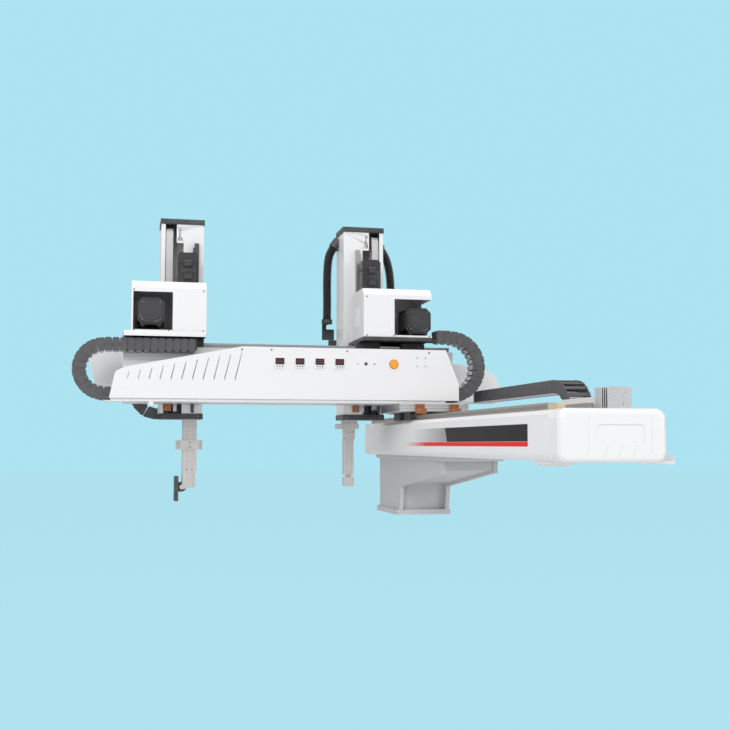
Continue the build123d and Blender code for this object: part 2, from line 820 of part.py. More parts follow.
def make_saddle(arm, chain_end):
    """The plate over the crosswise beam, the bracket behind the column and the chain's lug."""
    near = arm.x + arm.near
    far = arm.x - arm.outer
    rear = column_back + guide_height
    edge = arm.x - column_width / 2 - 7
    plate = block(far - arm.ledge, near, chain_front - 12, column_front - 4, saddle_z, saddle_top)
    plate += block(far, edge, column_front - 4.1, rear, saddle_z, saddle_top)
    motor_x = arm.x + arm.motor_offset
    rack_y = cross_front + cross_rack_offset
    plate -= block(motor_x - 32, motor_x + 32, rack_y - 28, rack_y + rack_width + 7, saddle_z - 1,
                   saddle_top + 1)
    face = arm.x + arm.rack_face
    plate -= block(face - 5, face + rack_height + 5, column_front - rack_width - 4, column_front,
                   saddle_z - 1, saddle_top + 1)
    plate += block(far, arm.x + arm.rear_reach, rear, rear + saddle_thickness, saddle_z - 170,
                   saddle_top + 26)
    plate += prism_x([(rear - 80, saddle_z), (rear, saddle_z), (rear, saddle_z - 90)], edge - 10, edge)
    lug_y = chain_front + 3
    if arm.hand > 0:
        lug = block(chain_end + 0.3, chain_end + 4.3, lug_y, chain_back - 3, saddle_z - 42, saddle_z + 0.1)
    else:
        end = arm.world(chain_end)
        lug = block(end + 0.3, end + 4.3, lug_y, chain_back - 3, saddle_z, saddle_z + 38)
        lug += block(end + 0.3, far + 1, lug_y, chain_back - 3, saddle_z, saddle_z + 6)
    return plate + lug


def make_saddle_guides(arm):
    """Four blocks on the crosswise rails and two behind the column."""
    pieces = []
    for x in (arm.x + 22, arm.x - arm.outer + 46):
        for y in (cross_front + front_cross_rail, cross_front + rear_cross_rail):
            pieces.append(Pos(x, y, cross_top) * guide_block())
    for z in (saddle_z - 120, saddle_z - 30):
        frame = Plane(origin=(arm.x - 10, column_back, z), x_dir=(0, 0, 1), z_dir=(0, 1, 0))
        pieces.append(frame.location * guide_block())
    return pieces


def make_clamps(arm):
    """Sheet clamps on the sub arm's rear bracket that hold the lower ends of the conduits."""
    pieces = []
    rear = column_back + guide_height
    for route, z0 in ((left_conduit, saddle_top + 26.3), (right_conduit, saddle_top + 26.3)):
        x = arm.world(route[-1][0])
        y, z = route[-1][1], route[-1][2]
        post = block(x - 8, x + 8, rear, rear + 4, z0, z + 10)
        if x > arm.x + arm.rear_reach:
            post += block(arm.x + arm.rear_reach - 20, x + 8, rear, rear + 4, z0, z0 + 40)
        collar = rod_z(conduit_diameter / 2 + 3.2, z - 6, z + 10, x, y)
        strap = block(x - 8, x + 8, y + conduit_diameter / 2, rear + 1, z - 6, z + 10)
        collar += strap
        collar -= rod_z(conduit_diameter / 2 + 0.2, z - 7, z + 11, x, y)
        pieces.append(post + collar)
    return pieces


def make_housing(arm):
    """The folded sheet housing over the drives, open at the front beside its motor."""
    near = arm.x + arm.near
    far = arm.x - arm.outer
    floor = saddle_top + 0.3
    outline = [
        (housing_front, floor), (housing_front, housing_front_top), (housing_front + 22, housing_top),
        (housing_back, housing_top), (housing_back, floor),
    ]
    inside = [
        (housing_front + sheet, floor - 1), (housing_front + sheet, housing_front_top - 1),
        (housing_front + 23, housing_top - sheet), (housing_back - sheet, housing_top - sheet),
        (housing_back - sheet, floor - 1),
    ]
    shell = prism_x(outline, far, near) - prism_x(inside, far + sheet, near - sheet)
    out = far + 6 if arm.hand > 0 else far - 1
    shell -= block(out, far + 131, housing_front - 1, housing_front + 12, floor + 7, housing_front_top - 14)
    if arm.hand < 0:
        shell -= block(far - 1, far + sheet + 1, housing_front - 1, housing_front + 126, floor + 7,
                       housing_front_top - 14)
    for slot in range(6):
        y = housing_front + 60 + slot * 14
        louvre = [(y, 660), (y + 3, 660), (y + 13, 725), (y + 10, 725)]
        shell -= prism_x(louvre, near - sheet - 1, near + 1)
    for slot in range(4):
        y = housing_front + 50 + slot * 11
        shell -= block(far + 30, far + 60, y, y + 5, housing_top - sheet - 1, housing_top + 1)
    x, y = vertical_drive(arm)
    shell -= rod_z(26, housing_top - sheet - 1, housing_top + 1, x, y)
    shell -= rod_y(pinion_bore / 2 + 3, housing_back - sheet - 1, housing_back + 1, x, vertical_pinion_z)
    return shell


def make_cross_motor(arm):
    """Crosswise servo motor along Y, with the gear unit that carries the pinion's shaft."""
    x, z = arm.x + arm.motor_offset, arm.motor_z
    front = housing_front + 6
    rack_y = cross_front + cross_rack_offset
    unit_front = rack_y - 24
    body = motor_shell(motor_flange, motor_corner, unit_front - 6 - front - 7, 12)
    frame = Plane(origin=(x, unit_front - 6, z), x_dir=(1, 0, 0), z_dir=(0, -1, 0))
    motor = frame.location * body
    half = motor_flange / 2
    motor += block(x - half, x + half, unit_front - 6.1, unit_front, z - half, z + half)
    unit = block(x - 30, x + 30, unit_front - 0.1, rack_y - 2, saddle_z + 1, z + 30)
    motor += fillet(along(unit, Axis.Y).group_by(Axis.Z)[-1], 14.0)
    motor += rod_y(pinion_bore / 2 - shaft_gap, rack_y - 2.1, rack_y + rack_width - 1, x, cross_pinion_z())
    for side in (-26, 26):
        motor += rod_y(8, front + 14, front + 34, x + side, z - half + 2)
    return motor


def make_cross_pinion(arm):
    y = cross_front + cross_rack_offset + rack_width / 2
    frame = Plane(origin=(arm.x + arm.motor_offset, y, cross_pinion_z()), x_dir=(0, 0, -1),
                  z_dir=(0, 1, 0))
    return frame.location * pinion(pinion_bore)


def vertical_drive(arm):
    """Centre of the vertical motor and its pinion, as x and y."""
    x = arm.x + arm.rack_face + tooth_tip - pitch_radius
    return x, housing_back - sheet - 0.6 - 32


def make_vertical_motor(arm):
    """Vertical servo motor on a right-angle gear unit that stands on the saddle."""
    x, y = vertical_drive(arm)
    unit = block(x - 34, x + 34, y - 32, y + 32, saddle_top, housing_top - 22)
    motor = fillet(along(unit, Axis.Z), 8.0)
    motor += rod_z(24, housing_top - 22.1, housing_top + 4, x, y)
    motor += Pos(x, y, housing_top + 3.9) * motor_shell(small_motor, small_motor_corner,
                                                        small_motor_length - 7, 8)
    motor += rod_y(pinion_bore / 2 - shaft_gap, y + 31.9, column_front - 3.2, x, vertical_pinion_z)
    face = y - small_motor / 2
    for z in (housing_top + 30, housing_top + 74):
        plug = block(x - 13, x + 13, face - 10, face + 3, z, z + 22)
        motor += chamfer(along(plug, Axis.X).group_by(Axis.Y)[0], 3.0)
    return motor


def make_vertical_pinion(arm):
    x, _ = vertical_drive(arm)
    y = column_front - 3.4 - pinion_width / 2
    frame = Plane(origin=(x, y, vertical_pinion_z), x_dir=(1, 0, 0), z_dir=(0, 1, 0))
    return frame.location * pinion(pinion_bore)


def make_column(arm):
    """The first-stage column: a closed guide box beside an open drive channel."""
    x0 = arm.x - column_width / 2
    x1 = arm.x + column_width / 2
    z0 = column_bottom + cap_thickness
    z1 = column_top - cap_thickness
    box_x = x1 - guide_box_width
    back = column_back - 12
    body = block(box_x, x1, column_front, column_back, z0, z1)
    body -= block(box_x + column_wall, x1 - column_wall, column_front + column_wall, back, z0 - 1, z1 + 1)
    body += block(x0, box_x + 1, back, column_back, z0, z1)
    body += block(x0, x0 + column_wall, column_front, back + 1, z0, z1)
    body += block(x0 + column_wall - 1, x0 + column_wall + 9, column_front, column_front + 4, z0, z1)
    tab_z = z1 - 66
    body += block(box_x - 24, box_x + 1, column_front, column_front + 4, tab_z, z1)
    for hole in range(6):
        body -= rod_y(1.8, column_front - 1, column_front + 5, box_x - 12, z1 - 12 - hole * 9)
    return body


def make_column_ends(arm):
    """The black top cap with its pulley fork, and the bottom plate that guides the inner arm."""
    x0 = arm.x - column_width / 2 - cap_overhang
    x1 = arm.x + column_width / 2 + cap_overhang
    front = column_front - cap_overhang
    top = block(x0, x1, front, column_back, column_top - cap_thickness, column_top)
    top = fillet(along(top, Axis.Z), 3.0)
    x, y, z = belt_x(arm), pulley_y(), pulley_z()
    for side in (-1, 1):
        inner = x + side * (pulley_width / 2 + 0.4)
        outer = inner + side * 3
        top += block(min(inner, outer), max(inner, outer), y - 12, y + 12, z - 14,
                     column_top - cap_thickness + 0.1)
    top += rod_x(4.95, x - pulley_width / 2 - 1, x + pulley_width / 2 + 1, y, z)
    bottom = block(x0, x1, front, column_back, column_bottom, column_bottom + cap_thickness)
    bottom = fillet(along(bottom, Axis.Z), 3.0)
    half_x, half_y = inner_width / 2 + run_gap, inner_depth / 2 + run_gap
    bottom -= block(arm.inner_x - half_x, arm.inner_x + half_x, inner_y() - half_y, inner_y() + half_y,
                    column_bottom - 1, column_bottom + cap_thickness + 1)
    for side in (-1, 1):
        inner = x + side * (pulley_width / 2 + 0.4)
        outer = inner + side * 3
        bottom += block(min(inner, outer), max(inner, outer), y - 12, y + 12,
                        column_bottom + cap_thickness - 0.1, belt_low() + 14)
    bottom += rod_x(6, x - pulley_width / 2 - 1, x + pulley_width / 2 + 1, y, belt_low())
    bottom += rod_x(pulley_radius, x - belt_width / 2, x + belt_width / 2, y, belt_low())
    return [top, bottom]


def inner_y():
    return column_front + column_wall + 8 + inner_depth / 2


def make_column_guides(arm):
    """The rail on the column's back and the gear rack on its front."""
    z0 = column_bottom + cap_thickness
    length = column_top - column_bottom - 2 * cap_thickness
    frame = Plane(origin=(arm.x - 10, column_back, z0), x_dir=(0, 0, 1), z_dir=(0, 1, 0))
    bar = frame.location * rail(length)
    start = 540.0 + phase_shift(540.0, vertical_pinion_z)
    frame = Plane(origin=(arm.x + arm.rack_face + rack_height, column_front - rack_width, start),
                  x_dir=(0, 0, 1), z_dir=(-1, 0, 0))
    teeth = frame.location * rack(vertical_rack_length)
    return Compound(children=[arm.place(bar), arm.place(teeth)])


def belt_x(arm):
    return arm.x - column_width / 2 + 28


def pulley_y():
    return column_front + 10 + pulley_radius


def pulley_z():
    return column_top - 54


def belt_low():
    return column_bottom + cap_thickness + 40


def make_belt(arm):
    """The timing belt of the second stage, over the pulley at the top and a shoe at the bottom."""
    x, y = belt_x(arm), pulley_y()
    inner = pulley_radius + run_gap
    outer = inner + belt_thickness
    half = belt_width / 2
    loop = block(x - half, x + half, y - outer, y + outer, belt_low(), pulley_z())
    loop -= block(x - half - 1, x + half + 1, y - inner, y + inner, belt_low() - 1, pulley_z() + 1)
    for z, z0, z1 in ((pulley_z(), pulley_z(), column_top), (belt_low(), column_bottom, belt_low())):
        turn = rod_x(outer, x - half, x + half, y, z) - rod_x(inner, x - half - 1, x + half + 1, y, z)
        loop += turn & block(x - half - 1, x + half + 1, y - outer - 1, y + outer + 1, z0, z1)
    return loop


def make_pulley(arm):
    x = belt_x(arm)
    wheel = rod_x(pulley_radius, x - pulley_width / 2, x + pulley_width / 2, pulley_y(), pulley_z())
    return wheel - rod_x(5.0, x - pulley_width, x + pulley_width, pulley_y(), pulley_z())


def grooved_bar(x, width, y, depth, z0, z1, groove):
    """An extruded bar with a shallow groove down each broad face."""
    bar = block(x - width / 2, x + width / 2, y - depth / 2, y + depth / 2, z0, z1)
    bar = fillet(along(bar, Axis.Z), 2.0)
    for side in (-1, 1):
        face = y + side * depth / 2
        for offset in (-width * 0.22, width * 0.22):
            bar -= block(x + offset - groove / 2, x + offset + groove / 2, face - 1.5, face + 1.5, z0 - 1,
                         z1 + 1)
    return bar


def make_main_inner_arm(arm):
    """The telescoping arm and the collar that is clamped round it."""
    bar = grooved_bar(arm.inner_x, inner_width, inner_y(), inner_depth, wrist_top, inner_top, 3.0)
    x, y = arm.inner_x, inner_y()
    collar = block(x - 45, x + 45, y - inner_depth / 2 - 5, y + inner_depth / 2 + 5, 235, 267)
    collar -= block(x - 46, x - 33, y - inner_depth / 2 - 6, y - 10, 234, 268)
    collar -= block(x + 33, x + 46, y - inner_depth / 2 - 6, y - 10, 234, 268)
    collar -= block(x - inner_width / 2 - 0.2, x + inner_width / 2 + 0.2, y - inner_depth / 2 - 0.2,
                    y + inner_depth / 2 + 0.2, 234, 268)
    for z in (245, 259):
        collar -= rod_y(2.4, y - inner_depth / 2 - 6, y - inner_depth / 2 - 1, x, z)
    return Compound(children=[bar, collar])


def make_wrist_block(arm):
    """The block at the end of the main arm, with two ears and the pin of the flip joint."""
    x0 = arm.inner_x - inner_width / 2
    x1 = x0 + inner_width - 4
    y0, y1 = inner_y() - inner_depth / 2, inner_y() + inner_depth / 2
    body = block(x0, x1, y0, y1, flip_z - 2, wrist_top)
    body -= block(x1 - 9, x1 + 1, y0 - 1, y0 + 3, flip_z - 3, wrist_top - 2)
    ears = rod_y(ear_radius, y0, y1, flip_x(arm), flip_z) + block(flip_x(arm), x0 + 12, y0, y1,
                                                                  flip_z - ear_radius + 1, flip_z + 14)
    body += ears
    gap0, gap1 = y0 + ear_width, y1 - ear_width
    body -= rod_y(lever_radius + 2, gap0, gap1, flip_x(arm), flip_z)
    body -= block(flip_x(arm) - lever_radius, flip_x(arm), gap0, gap1, flip_z - 30, flip_z + 40)
    body -= block(flip_x(arm) - 1, flip_x(arm) + lever_radius + 2, gap0, gap1, flip_z - 30, flip_z)
    return body + rod_y(flip_pin, y0 + 1, y1 - 1, flip_x(arm), flip_z)


def flip_x(arm):
    return arm.inner_x - inner_width / 2 - 1


def make_tool_plate(arm):
    """The flip lever and the tool plate, to which the gripper is bolted."""
    x, y = flip_x(arm), inner_y()
    half = inner_depth / 2 - ear_width - run_gap
    lever = rod_y(lever_radius, y - half, y + half, x, flip_z)
    lever += block(x - 13, x, y - half, y + half, flip_z - lever_radius, flip_z + lever_radius)
    lever -= rod_y(flip_pin + shaft_gap, y - half - 1, y + half + 1, x, flip_z)
    depth = inner_depth / 2 + 4
    plate = block(x - 25, x - 12, y - depth, y + depth, flip_z - 48, flip_z + 37)
    plate = fillet(along(plate, Axis.X), 4.0)
    for side_y in (-1, 1):
        for side_z in (-1, 1):
            plate -= rod_x(tool_hole / 2, x - 26, x - 11, y + side_y * tool_spacing_y / 2,
                           flip_z - 4 + side_z * tool_spacing_z / 2)
    return plate + lever


def make_sub_inner_arm(arm):
    """The sub arm's telescoping bar with its flange, slim gripper bar and end block."""
    x, y = arm.inner_x, inner_y()
    bar = grooved_bar(x, inner_width, y, inner_depth, 326, inner_top, 3.0)
    flange = block(x - 28, x + 46, y - 33, y + 33, 308, 326)
    knee = block(x - 17, x + 20, y - 24, y + 24, 284, 308)
    knee += prism_y([(x - 17, 284), (x + 20, 284), (x + 20, 280), (x + 17, 270), (x - 15, 270)], y - 20,
                    y + 20)
    for offset in (-8, 6):
        knee -= rod_y(2.6, y - 25, y - 16, x + offset, 296)
    slim = grooved_bar(x + 5, 35, y, 36, 145, 276, 3.0)
    neck = block(x - 6, x + 12, y - 9, y + 9, 134, 146)
    tip = fillet(along(block(x - 14, x + 22, y - 18, y + 18, 103, 136), Axis.Z), 3.0)
    return bar + flange + knee + slim + neck + tip


def make_arm_chain(arm):
    """The vertical axis's chain, from the saddle's underside round into the column's foot."""
    y = column_back - 63
    x = arm.x - column_width / 2 - 7
    ring = rod_y(arm_chain_radius, y - arm_chain_width / 2, y + arm_chain_width / 2, x,
                 column_bottom + 1 + arm_chain_radius)
    ring -= rod_y(arm_chain_radius - arm_link_height, y - arm_chain_width, y + arm_chain_width, x,
                  column_bottom + 1 + arm_chain_radius)
    centre_z = column_bottom + 1 + arm_chain_radius
    quarter = ring & block(x - arm_chain_radius, x, y - arm_chain_width, y + arm_chain_width,
                           centre_z - arm_chain_radius, centre_z)
    upright = block(x - arm_chain_radius, x - arm_chain_radius + arm_link_height,
                    y - arm_chain_width / 2, y + arm_chain_width / 2, centre_z, saddle_z - 0.3)
    entry = block(x, x + 7 - cap_overhang - 0.3, y - arm_chain_width / 2, y + arm_chain_width / 2,
                  column_bottom + 1, column_bottom + 1 + arm_link_height)
    chain = quarter + upright + entry
    for link in range(1, 5):
        z = centre_z + link * chain_link - 6
        for side in (-1, 1):
            edge = y + side * arm_chain_width / 2
            chain -= block(x - arm_chain_radius - 1, x - arm_chain_radius + arm_link_height + 1, edge - 1,
                           edge + 1, z - 1, z + 1)
    return chain


def make_glands():
    """The two nuts that hold the conduits' upper ends, one on each side of the sub column."""
    glands = []
    for route, side in ((left_conduit, -1), (right_conduit, 1)):
        start, after = Vector(route[0]), Vector(route[1])
        back = (start - after).normalized()
        nut = Cylinder(conduit_diameter / 2 + 3, 34, align=(Align.CENTER, Align.CENTER, Align.MIN))
        nut = Plane(origin=start + back * 0.3, z_dir=back).location * nut
        face = sub_x + side * (column_width / 2 + 0.2)
        outside = block(min(face, face + side * 60), max(face, face + side * 60), -120, 0, 900,
                        column_top - cap_thickness - 0.3)
        glands.append(nut & outside)
    return glands


def make_conduit(route):
    """A corrugated cable conduit as a plain tube, with the radii of its bends printed."""
    radii = []
    points = [Vector(*point) for point in route]
    for before, at, after in zip(points, points[1:], points[2:]):
        first, second = at - before, after - at
        turn = math.radians(first.get_angle(second))
        radii.append(0.45 * min(first.length, second.length) / math.tan(turn / 2))
    print("conduit bend radii", [round(radius) for radius in radii])
    path = FilletPolyline(*route, radius=radii)
    start = Plane(origin=path @ 0, z_dir=path % 0)
    tube = sweep(start * Circle(conduit_diameter / 2), path=path)
    print("conduit volume over section times length",
          round(tube.volume / (math.pi * conduit_diameter ** 2 / 4 * path.length), 3))
    return tube


# Output
def save(name, shape):
    shape.label = name
    export_step(shape, f"parts/{name}.step")


def save_chain(name, pieces):
    """The three nodes of an energy chain: the run that moves, the bend and the fixed run."""
    for role, piece in zip(("moving", "bend", "fixed"), pieces):
        save(f"{name}_chain_{role}", piece)


def make_traverse_chain():
    """Upper run, bend and lower run of the traverse chain, which lies along Y."""
    x = traverse_chain_x + traverse_chain_width / 2
    low = lower_traverse_run()
    bend = chain_bend(traverse_bend_radius, traverse_link_height, traverse_chain_width)
    upper = chain_run(traverse_run_end - traverse_bend_y, traverse_chain_width, traverse_link_height)
    lower = chain_run(traverse_fixed_end - traverse_bend_y, traverse_chain_width, traverse_link_height)
    turn = Rot(0, 0, 90)
    return [
        Pos(x, traverse_bend_y, upper_traverse_run()) * turn * upper,
        Pos(x, traverse_bend_y, low + traverse_bend_radius) * turn * bend,
        Pos(x, traverse_bend_y, low) * turn * lower,
    ]


def build_base():
    save("riser", make_riser())
    save("traverse_beam", make_traverse_beam())
    save("beam_side_covers", make_side_covers())
    save("near_end_cover", Compound(children=[make_near_cover(), make_beam_foot()]))
    save("far_end_cap", make_far_cap())
    save("traverse_rails", make_traverse_rails())
    save("traverse_rack", make_traverse_rack())
    save("rail_stops", make_rail_stops())
    save("connector_bracket", make_connector_bracket())
    save("chain_tray", make_chain_tray())
    save_chain("traverse", make_traverse_chain())


def build_carriage():
    save("carriage_plate", make_carriage_plate())
    save("traverse_guide_blocks", make_traverse_blocks())
    save("carriage_bumpers", make_carriage_bumpers())
    save("traverse_motor", make_traverse_motor())
    save("traverse_pinion", make_traverse_pinion())
    save("crosswise_beam", make_cross_beam())
    save("crosswise_rails", make_cross_rails())
    save("crosswise_rack", make_cross_rack())
    save("front_panel", make_front_panel())
    save("rear_panel", make_rear_panel())
    save("chain_trough", make_chain_trough())
    save("panel_instruments", make_instruments())
    save_chain("main", make_chain_pieces(main_bend_x, main_bend_radius, main_run_end, main_fixed_end, 1))
    save_chain("sub", make_chain_pieces(sub_bend_x, sub_bend_radius, sub_run_end, sub_fixed_end, -1))


def build_arm(arm, chain_end):
    name = arm.name
    saddle = [make_saddle(arm, chain_end)] + make_saddle_guides(arm)
    if arm.hand < 0:
        saddle += make_clamps(arm)
    save(f"{name}_saddle", Compound(children=[arm.place(piece) for piece in saddle]))
    save(f"{name}_housing", arm.place(make_housing(arm)))
    save(f"{name}_crosswise_motor", arm.place(make_cross_motor(arm)))
    save(f"{name}_crosswise_pinion", arm.place(make_cross_pinion(arm)))
    save(f"{name}_vertical_motor", arm.place(make_vertical_motor(arm)))
    save(f"{name}_vertical_pinion", arm.place(make_vertical_pinion(arm)))
    save(f"{name}_column", arm.place(make_column(arm)))
    ends = [arm.place(piece) for piece in make_column_ends(arm)]
    if arm.hand < 0:
        ends += make_glands()
    save(f"{name}_column_ends", Compound(children=ends))
    save(f"{name}_column_guides", make_column_guides(arm))
    save(f"{name}_belt", arm.place(make_belt(arm)))
    save(f"{name}_belt_pulley", arm.place(make_pulley(arm)))


build_base()
build_carriage()
build_arm(main_arm, main_run_end)
build_arm(sub_arm, sub_run_end)
save("main_inner_arm", make_main_inner_arm(main_arm))
save("main_wrist_block", make_wrist_block(main_arm))
save("tool_plate", make_tool_plate(main_arm))
save("main_arm_chain", make_arm_chain(main_arm))
save("sub_inner_arm", sub_arm.place(make_sub_inner_arm(sub_arm)))
save("left_conduit", make_conduit(left_conduit))
save("right_conduit", make_conduit(right_conduit))
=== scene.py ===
# %% [markdown]
# # A take-out robot for an injection moulding machine
# The machine stands on a cast riser. A long white beam carries a carriage towards us and
# away from us. On the carriage rides a second beam, and along that travel two arms that
# reach down into the mould. Energy chains carry the cables to everything that moves.
# The solid parts come from CAD. This lesson gives each of them its finish, and builds what
# is too fine for CAD: chain links, corrugated conduits, screws, gauge faces and trim.

import math

import bmesh
import bpy
from mathutils import Matrix, Vector


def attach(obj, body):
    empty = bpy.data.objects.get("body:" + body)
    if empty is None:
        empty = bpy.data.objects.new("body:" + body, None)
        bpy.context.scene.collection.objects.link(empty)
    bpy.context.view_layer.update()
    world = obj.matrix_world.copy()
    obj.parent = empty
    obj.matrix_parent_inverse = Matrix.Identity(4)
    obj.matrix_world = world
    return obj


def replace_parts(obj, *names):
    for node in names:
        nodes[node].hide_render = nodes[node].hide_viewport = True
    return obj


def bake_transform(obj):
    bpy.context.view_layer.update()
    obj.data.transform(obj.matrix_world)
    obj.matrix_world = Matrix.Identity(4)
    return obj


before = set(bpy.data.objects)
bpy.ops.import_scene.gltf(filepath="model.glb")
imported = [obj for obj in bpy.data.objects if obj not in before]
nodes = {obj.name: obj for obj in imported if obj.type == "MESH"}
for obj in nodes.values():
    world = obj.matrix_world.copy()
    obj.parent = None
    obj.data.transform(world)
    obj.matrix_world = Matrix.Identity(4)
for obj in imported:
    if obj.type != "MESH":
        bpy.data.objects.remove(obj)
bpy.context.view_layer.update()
MM = 0.001

# %% [markdown]
# ## The camera
# The photograph was taken from the front, about a metre to the left of the riser and a
# quarter of a metre above its foot, looking slightly up. A camera can be set by eye. Here
# its place, its two angles and its lens were worked out from the vanishing points of the
# two beams and the upright edges, so that each piece can be held against the photograph.

# %% Place the camera
CAMERA_PLACE = (-1.077, -3.927, 0.254)
CAMERA_HEADING, CAMERA_RISE = 12.805, 4.203
LENS, SENSOR = 53.0, 36.0
camera = bpy.data.objects.new("camera", bpy.data.cameras.new("camera"))
bpy.context.scene.collection.objects.link(camera)
camera.location = CAMERA_PLACE
camera.rotation_euler = (math.pi / 2 + math.radians(CAMERA_RISE), 0, -math.radians(CAMERA_HEADING))
camera.data.sensor_width = SENSOR
camera.data.lens = LENS
camera.data.clip_end = 60.0
bpy.context.scene.camera = camera
print("camera heading and rise in degrees:", CAMERA_HEADING, CAMERA_RISE)

# %% [markdown]
# ## Shader node groups
# Four effects come back in many finishes: the fine texture of sprayed or moulded skin, the
# lighter line along an edge, which is partly rubbed paint and partly a painted highlight, the
# lines that a grinding belt or a die leaves in metal, and dust on faces that look up. The nodes
# could be repeated in every material. A group is made once, has named sockets, and takes its
# own values in each material that holds it.

# %% Helpers for node groups
FLOAT, COLOR, VECTOR = "NodeSocketFloat", "NodeSocketColor", "NodeSocketVector"
WHITE = (1, 1, 1, 1)


def new_group(name, inputs, outputs):
    """An empty shader node group with its sockets: the group, what it is given, what it puts out."""
    group = bpy.data.node_groups.new(name, "ShaderNodeTree")
    for socket, kind, value in inputs:
        made = group.interface.new_socket(socket, in_out="INPUT", socket_type=kind)
        made.default_value = value
    for socket, kind in outputs:
        group.interface.new_socket(socket, in_out="OUTPUT", socket_type=kind)
    start = group.nodes.new("NodeGroupInput")
    end = group.nodes.new("NodeGroupOutput")
    return group, start.outputs, end.inputs


def add(tree, kind, links=(), **settings):
    """A node with its settings, whose inputs are linked or set from pairs."""
    node = tree.nodes.new("ShaderNode" + kind)
    for key, value in settings.items():
        setattr(node, key, value)
    for socket, source in links:
        if isinstance(source, bpy.types.NodeSocket):
            tree.links.new(source, node.inputs[socket])
        else:
            node.inputs[socket].default_value = source
    return node


def maths(tree, operation, first, second, third=0.0, clamp=False):
    """A Math node. Here only MULTIPLY_ADD reads the third value, which Blender itself sets to 0.5."""
    values = [(0, first), (1, second), (2, third)]
    return add(tree, "Math", values, operation=operation, use_clamp=clamp).outputs[0]


def ramp(tree, value, start, end, first=0.0, last=1.0):
    """Goes from first to last while the value goes from start to end, and stops there."""
    pairs = [("Value", value), ("From Min", start), ("From Max", end), ("To Min", first), ("To Max", last)]
    return add(tree, "MapRange", pairs).outputs["Result"]


def mix_color(tree, factor, first, second):
    """A Mix node keeps its colours in sockets 6 and 7, and gives their mix at output 2."""
    return add(tree, "Mix", [(0, factor), (6, first), (7, second)], data_type="RGBA").outputs[2]


# %% The skin of paint and plastic
def build_skin():
    """Orange peel or moulded grain, with a slow drift of tone."""
    group, given, out = new_group(
        "Skin texture",
        [("Color", COLOR, WHITE), ("Scale", FLOAT, 900.0), ("Drift", FLOAT, 0.03)],
        [("Color", COLOR), ("Height", FLOAT), ("Gloss break", FLOAT)],
    )
    place = add(group, "TexCoord").outputs["Object"]
    fine = add(group, "TexNoise", [("Vector", place), ("Scale", given["Scale"]), ("Detail", 2.0)])
    slow = add(group, "TexNoise", [("Vector", place), ("Scale", 6.0), ("Detail", 3.0)])
    tone = maths(group, "MULTIPLY", slow.outputs["Fac"], given["Drift"])
    half_drift = maths(group, "MULTIPLY", given["Drift"], 0.5)
    level = maths(group, "ADD", maths(group, "SUBTRACT", tone, half_drift), 1.0)
    shade = add(group, "HueSaturation", [("Color", given["Color"]), ("Value", level)])
    group.links.new(shade.outputs["Color"], out["Color"])
    group.links.new(fine.outputs["Fac"], out["Height"])
    group.links.new(slow.outputs["Fac"], out["Gloss break"])
    return group


# %% Rubbed edges and painted edge highlight
EDGE_START, EDGE_FULL = 0.515, 0.58


def build_edge():
    """The paler line along sharp edges, partly rubbed paint and partly a painted highlight. A flat face has a
    pointiness of 0.5.
    """
    group, given, out = new_group(
        "Edge rubbing and painted highlight",
        [("Color", COLOR, WHITE), ("Edge color", COLOR, WHITE), ("Amount", FLOAT, 0.5)],
        [("Color", COLOR)],
    )
    sharp = add(group, "NewGeometry").outputs["Pointiness"]
    place = add(group, "TexCoord").outputs["Object"]
    patch = add(group, "TexNoise", [("Vector", place), ("Scale", 45.0), ("Detail", 3.0)])
    mask = maths(group, "MULTIPLY", ramp(group, sharp, EDGE_START, EDGE_FULL), patch.outputs["Fac"])
    mask = maths(group, "MULTIPLY", mask, given["Amount"], clamp=True)
    group.links.new(mix_color(group, mask, given["Color"], given["Edge color"]), out["Color"])
    return group


# %% Machining lines
def build_lines():
    """Long fine lines, as left by grinding or by an extrusion die."""
    group, given, out = new_group(
        "Machining lines",
        [("Color", COLOR, WHITE), ("Stretch", VECTOR, (1, 1, 1)), ("Contrast", FLOAT, 0.2)],
        [("Color", COLOR), ("Height", FLOAT), ("Gloss break", FLOAT)],
    )
    place = add(group, "TexCoord").outputs["Object"]
    drawn = add(group, "VectorMath", [(0, place), (1, given["Stretch"])], operation="MULTIPLY")
    noise = add(group, "TexNoise", [("Vector", drawn.outputs[0]), ("Scale", 1.0), ("Detail", 4.0)])
    centred = maths(group, "SUBTRACT", noise.outputs["Fac"], 0.5)
    level = maths(group, "ADD", maths(group, "MULTIPLY", centred, given["Contrast"]), 1.0)
    shade = add(group, "HueSaturation", [("Color", given["Color"]), ("Value", level)])
    group.links.new(shade.outputs["Color"], out["Color"])
    group.links.new(noise.outputs["Fac"], out["Height"])
    group.links.new(noise.outputs["Fac"], out["Gloss break"])
    return group


# %% Dust
DUST_COLOR = (0.62, 0.6, 0.56, 1)


def build_dust():
    """A thin pale film on faces that look up."""
    group, given, out = new_group(
        "Dust film",
        [("Color", COLOR, WHITE), ("Amount", FLOAT, 0.2)],
        [("Color", COLOR)],
    )
    facing = add(group, "SeparateXYZ", [(0, add(group, "NewGeometry").outputs["Normal"])]).outputs[2]
    place = add(group, "TexCoord").outputs["Object"]
    patch = add(group, "TexNoise", [("Vector", place), ("Scale", 14.0), ("Detail", 5.0)])
    mask = maths(group, "MULTIPLY", ramp(group, facing, 0.5, 1.0), patch.outputs["Fac"])
    mask = maths(group, "MULTIPLY", mask, given["Amount"], clamp=True)
    group.links.new(mix_color(group, mask, given["Color"], DUST_COLOR), out["Color"])
    return group


SKIN, EDGE, LINES, DUST = build_skin(), build_edge(), build_lines(), build_dust()
print("node groups:", [g.name for g in (SKIN, EDGE, LINES, DUST)])
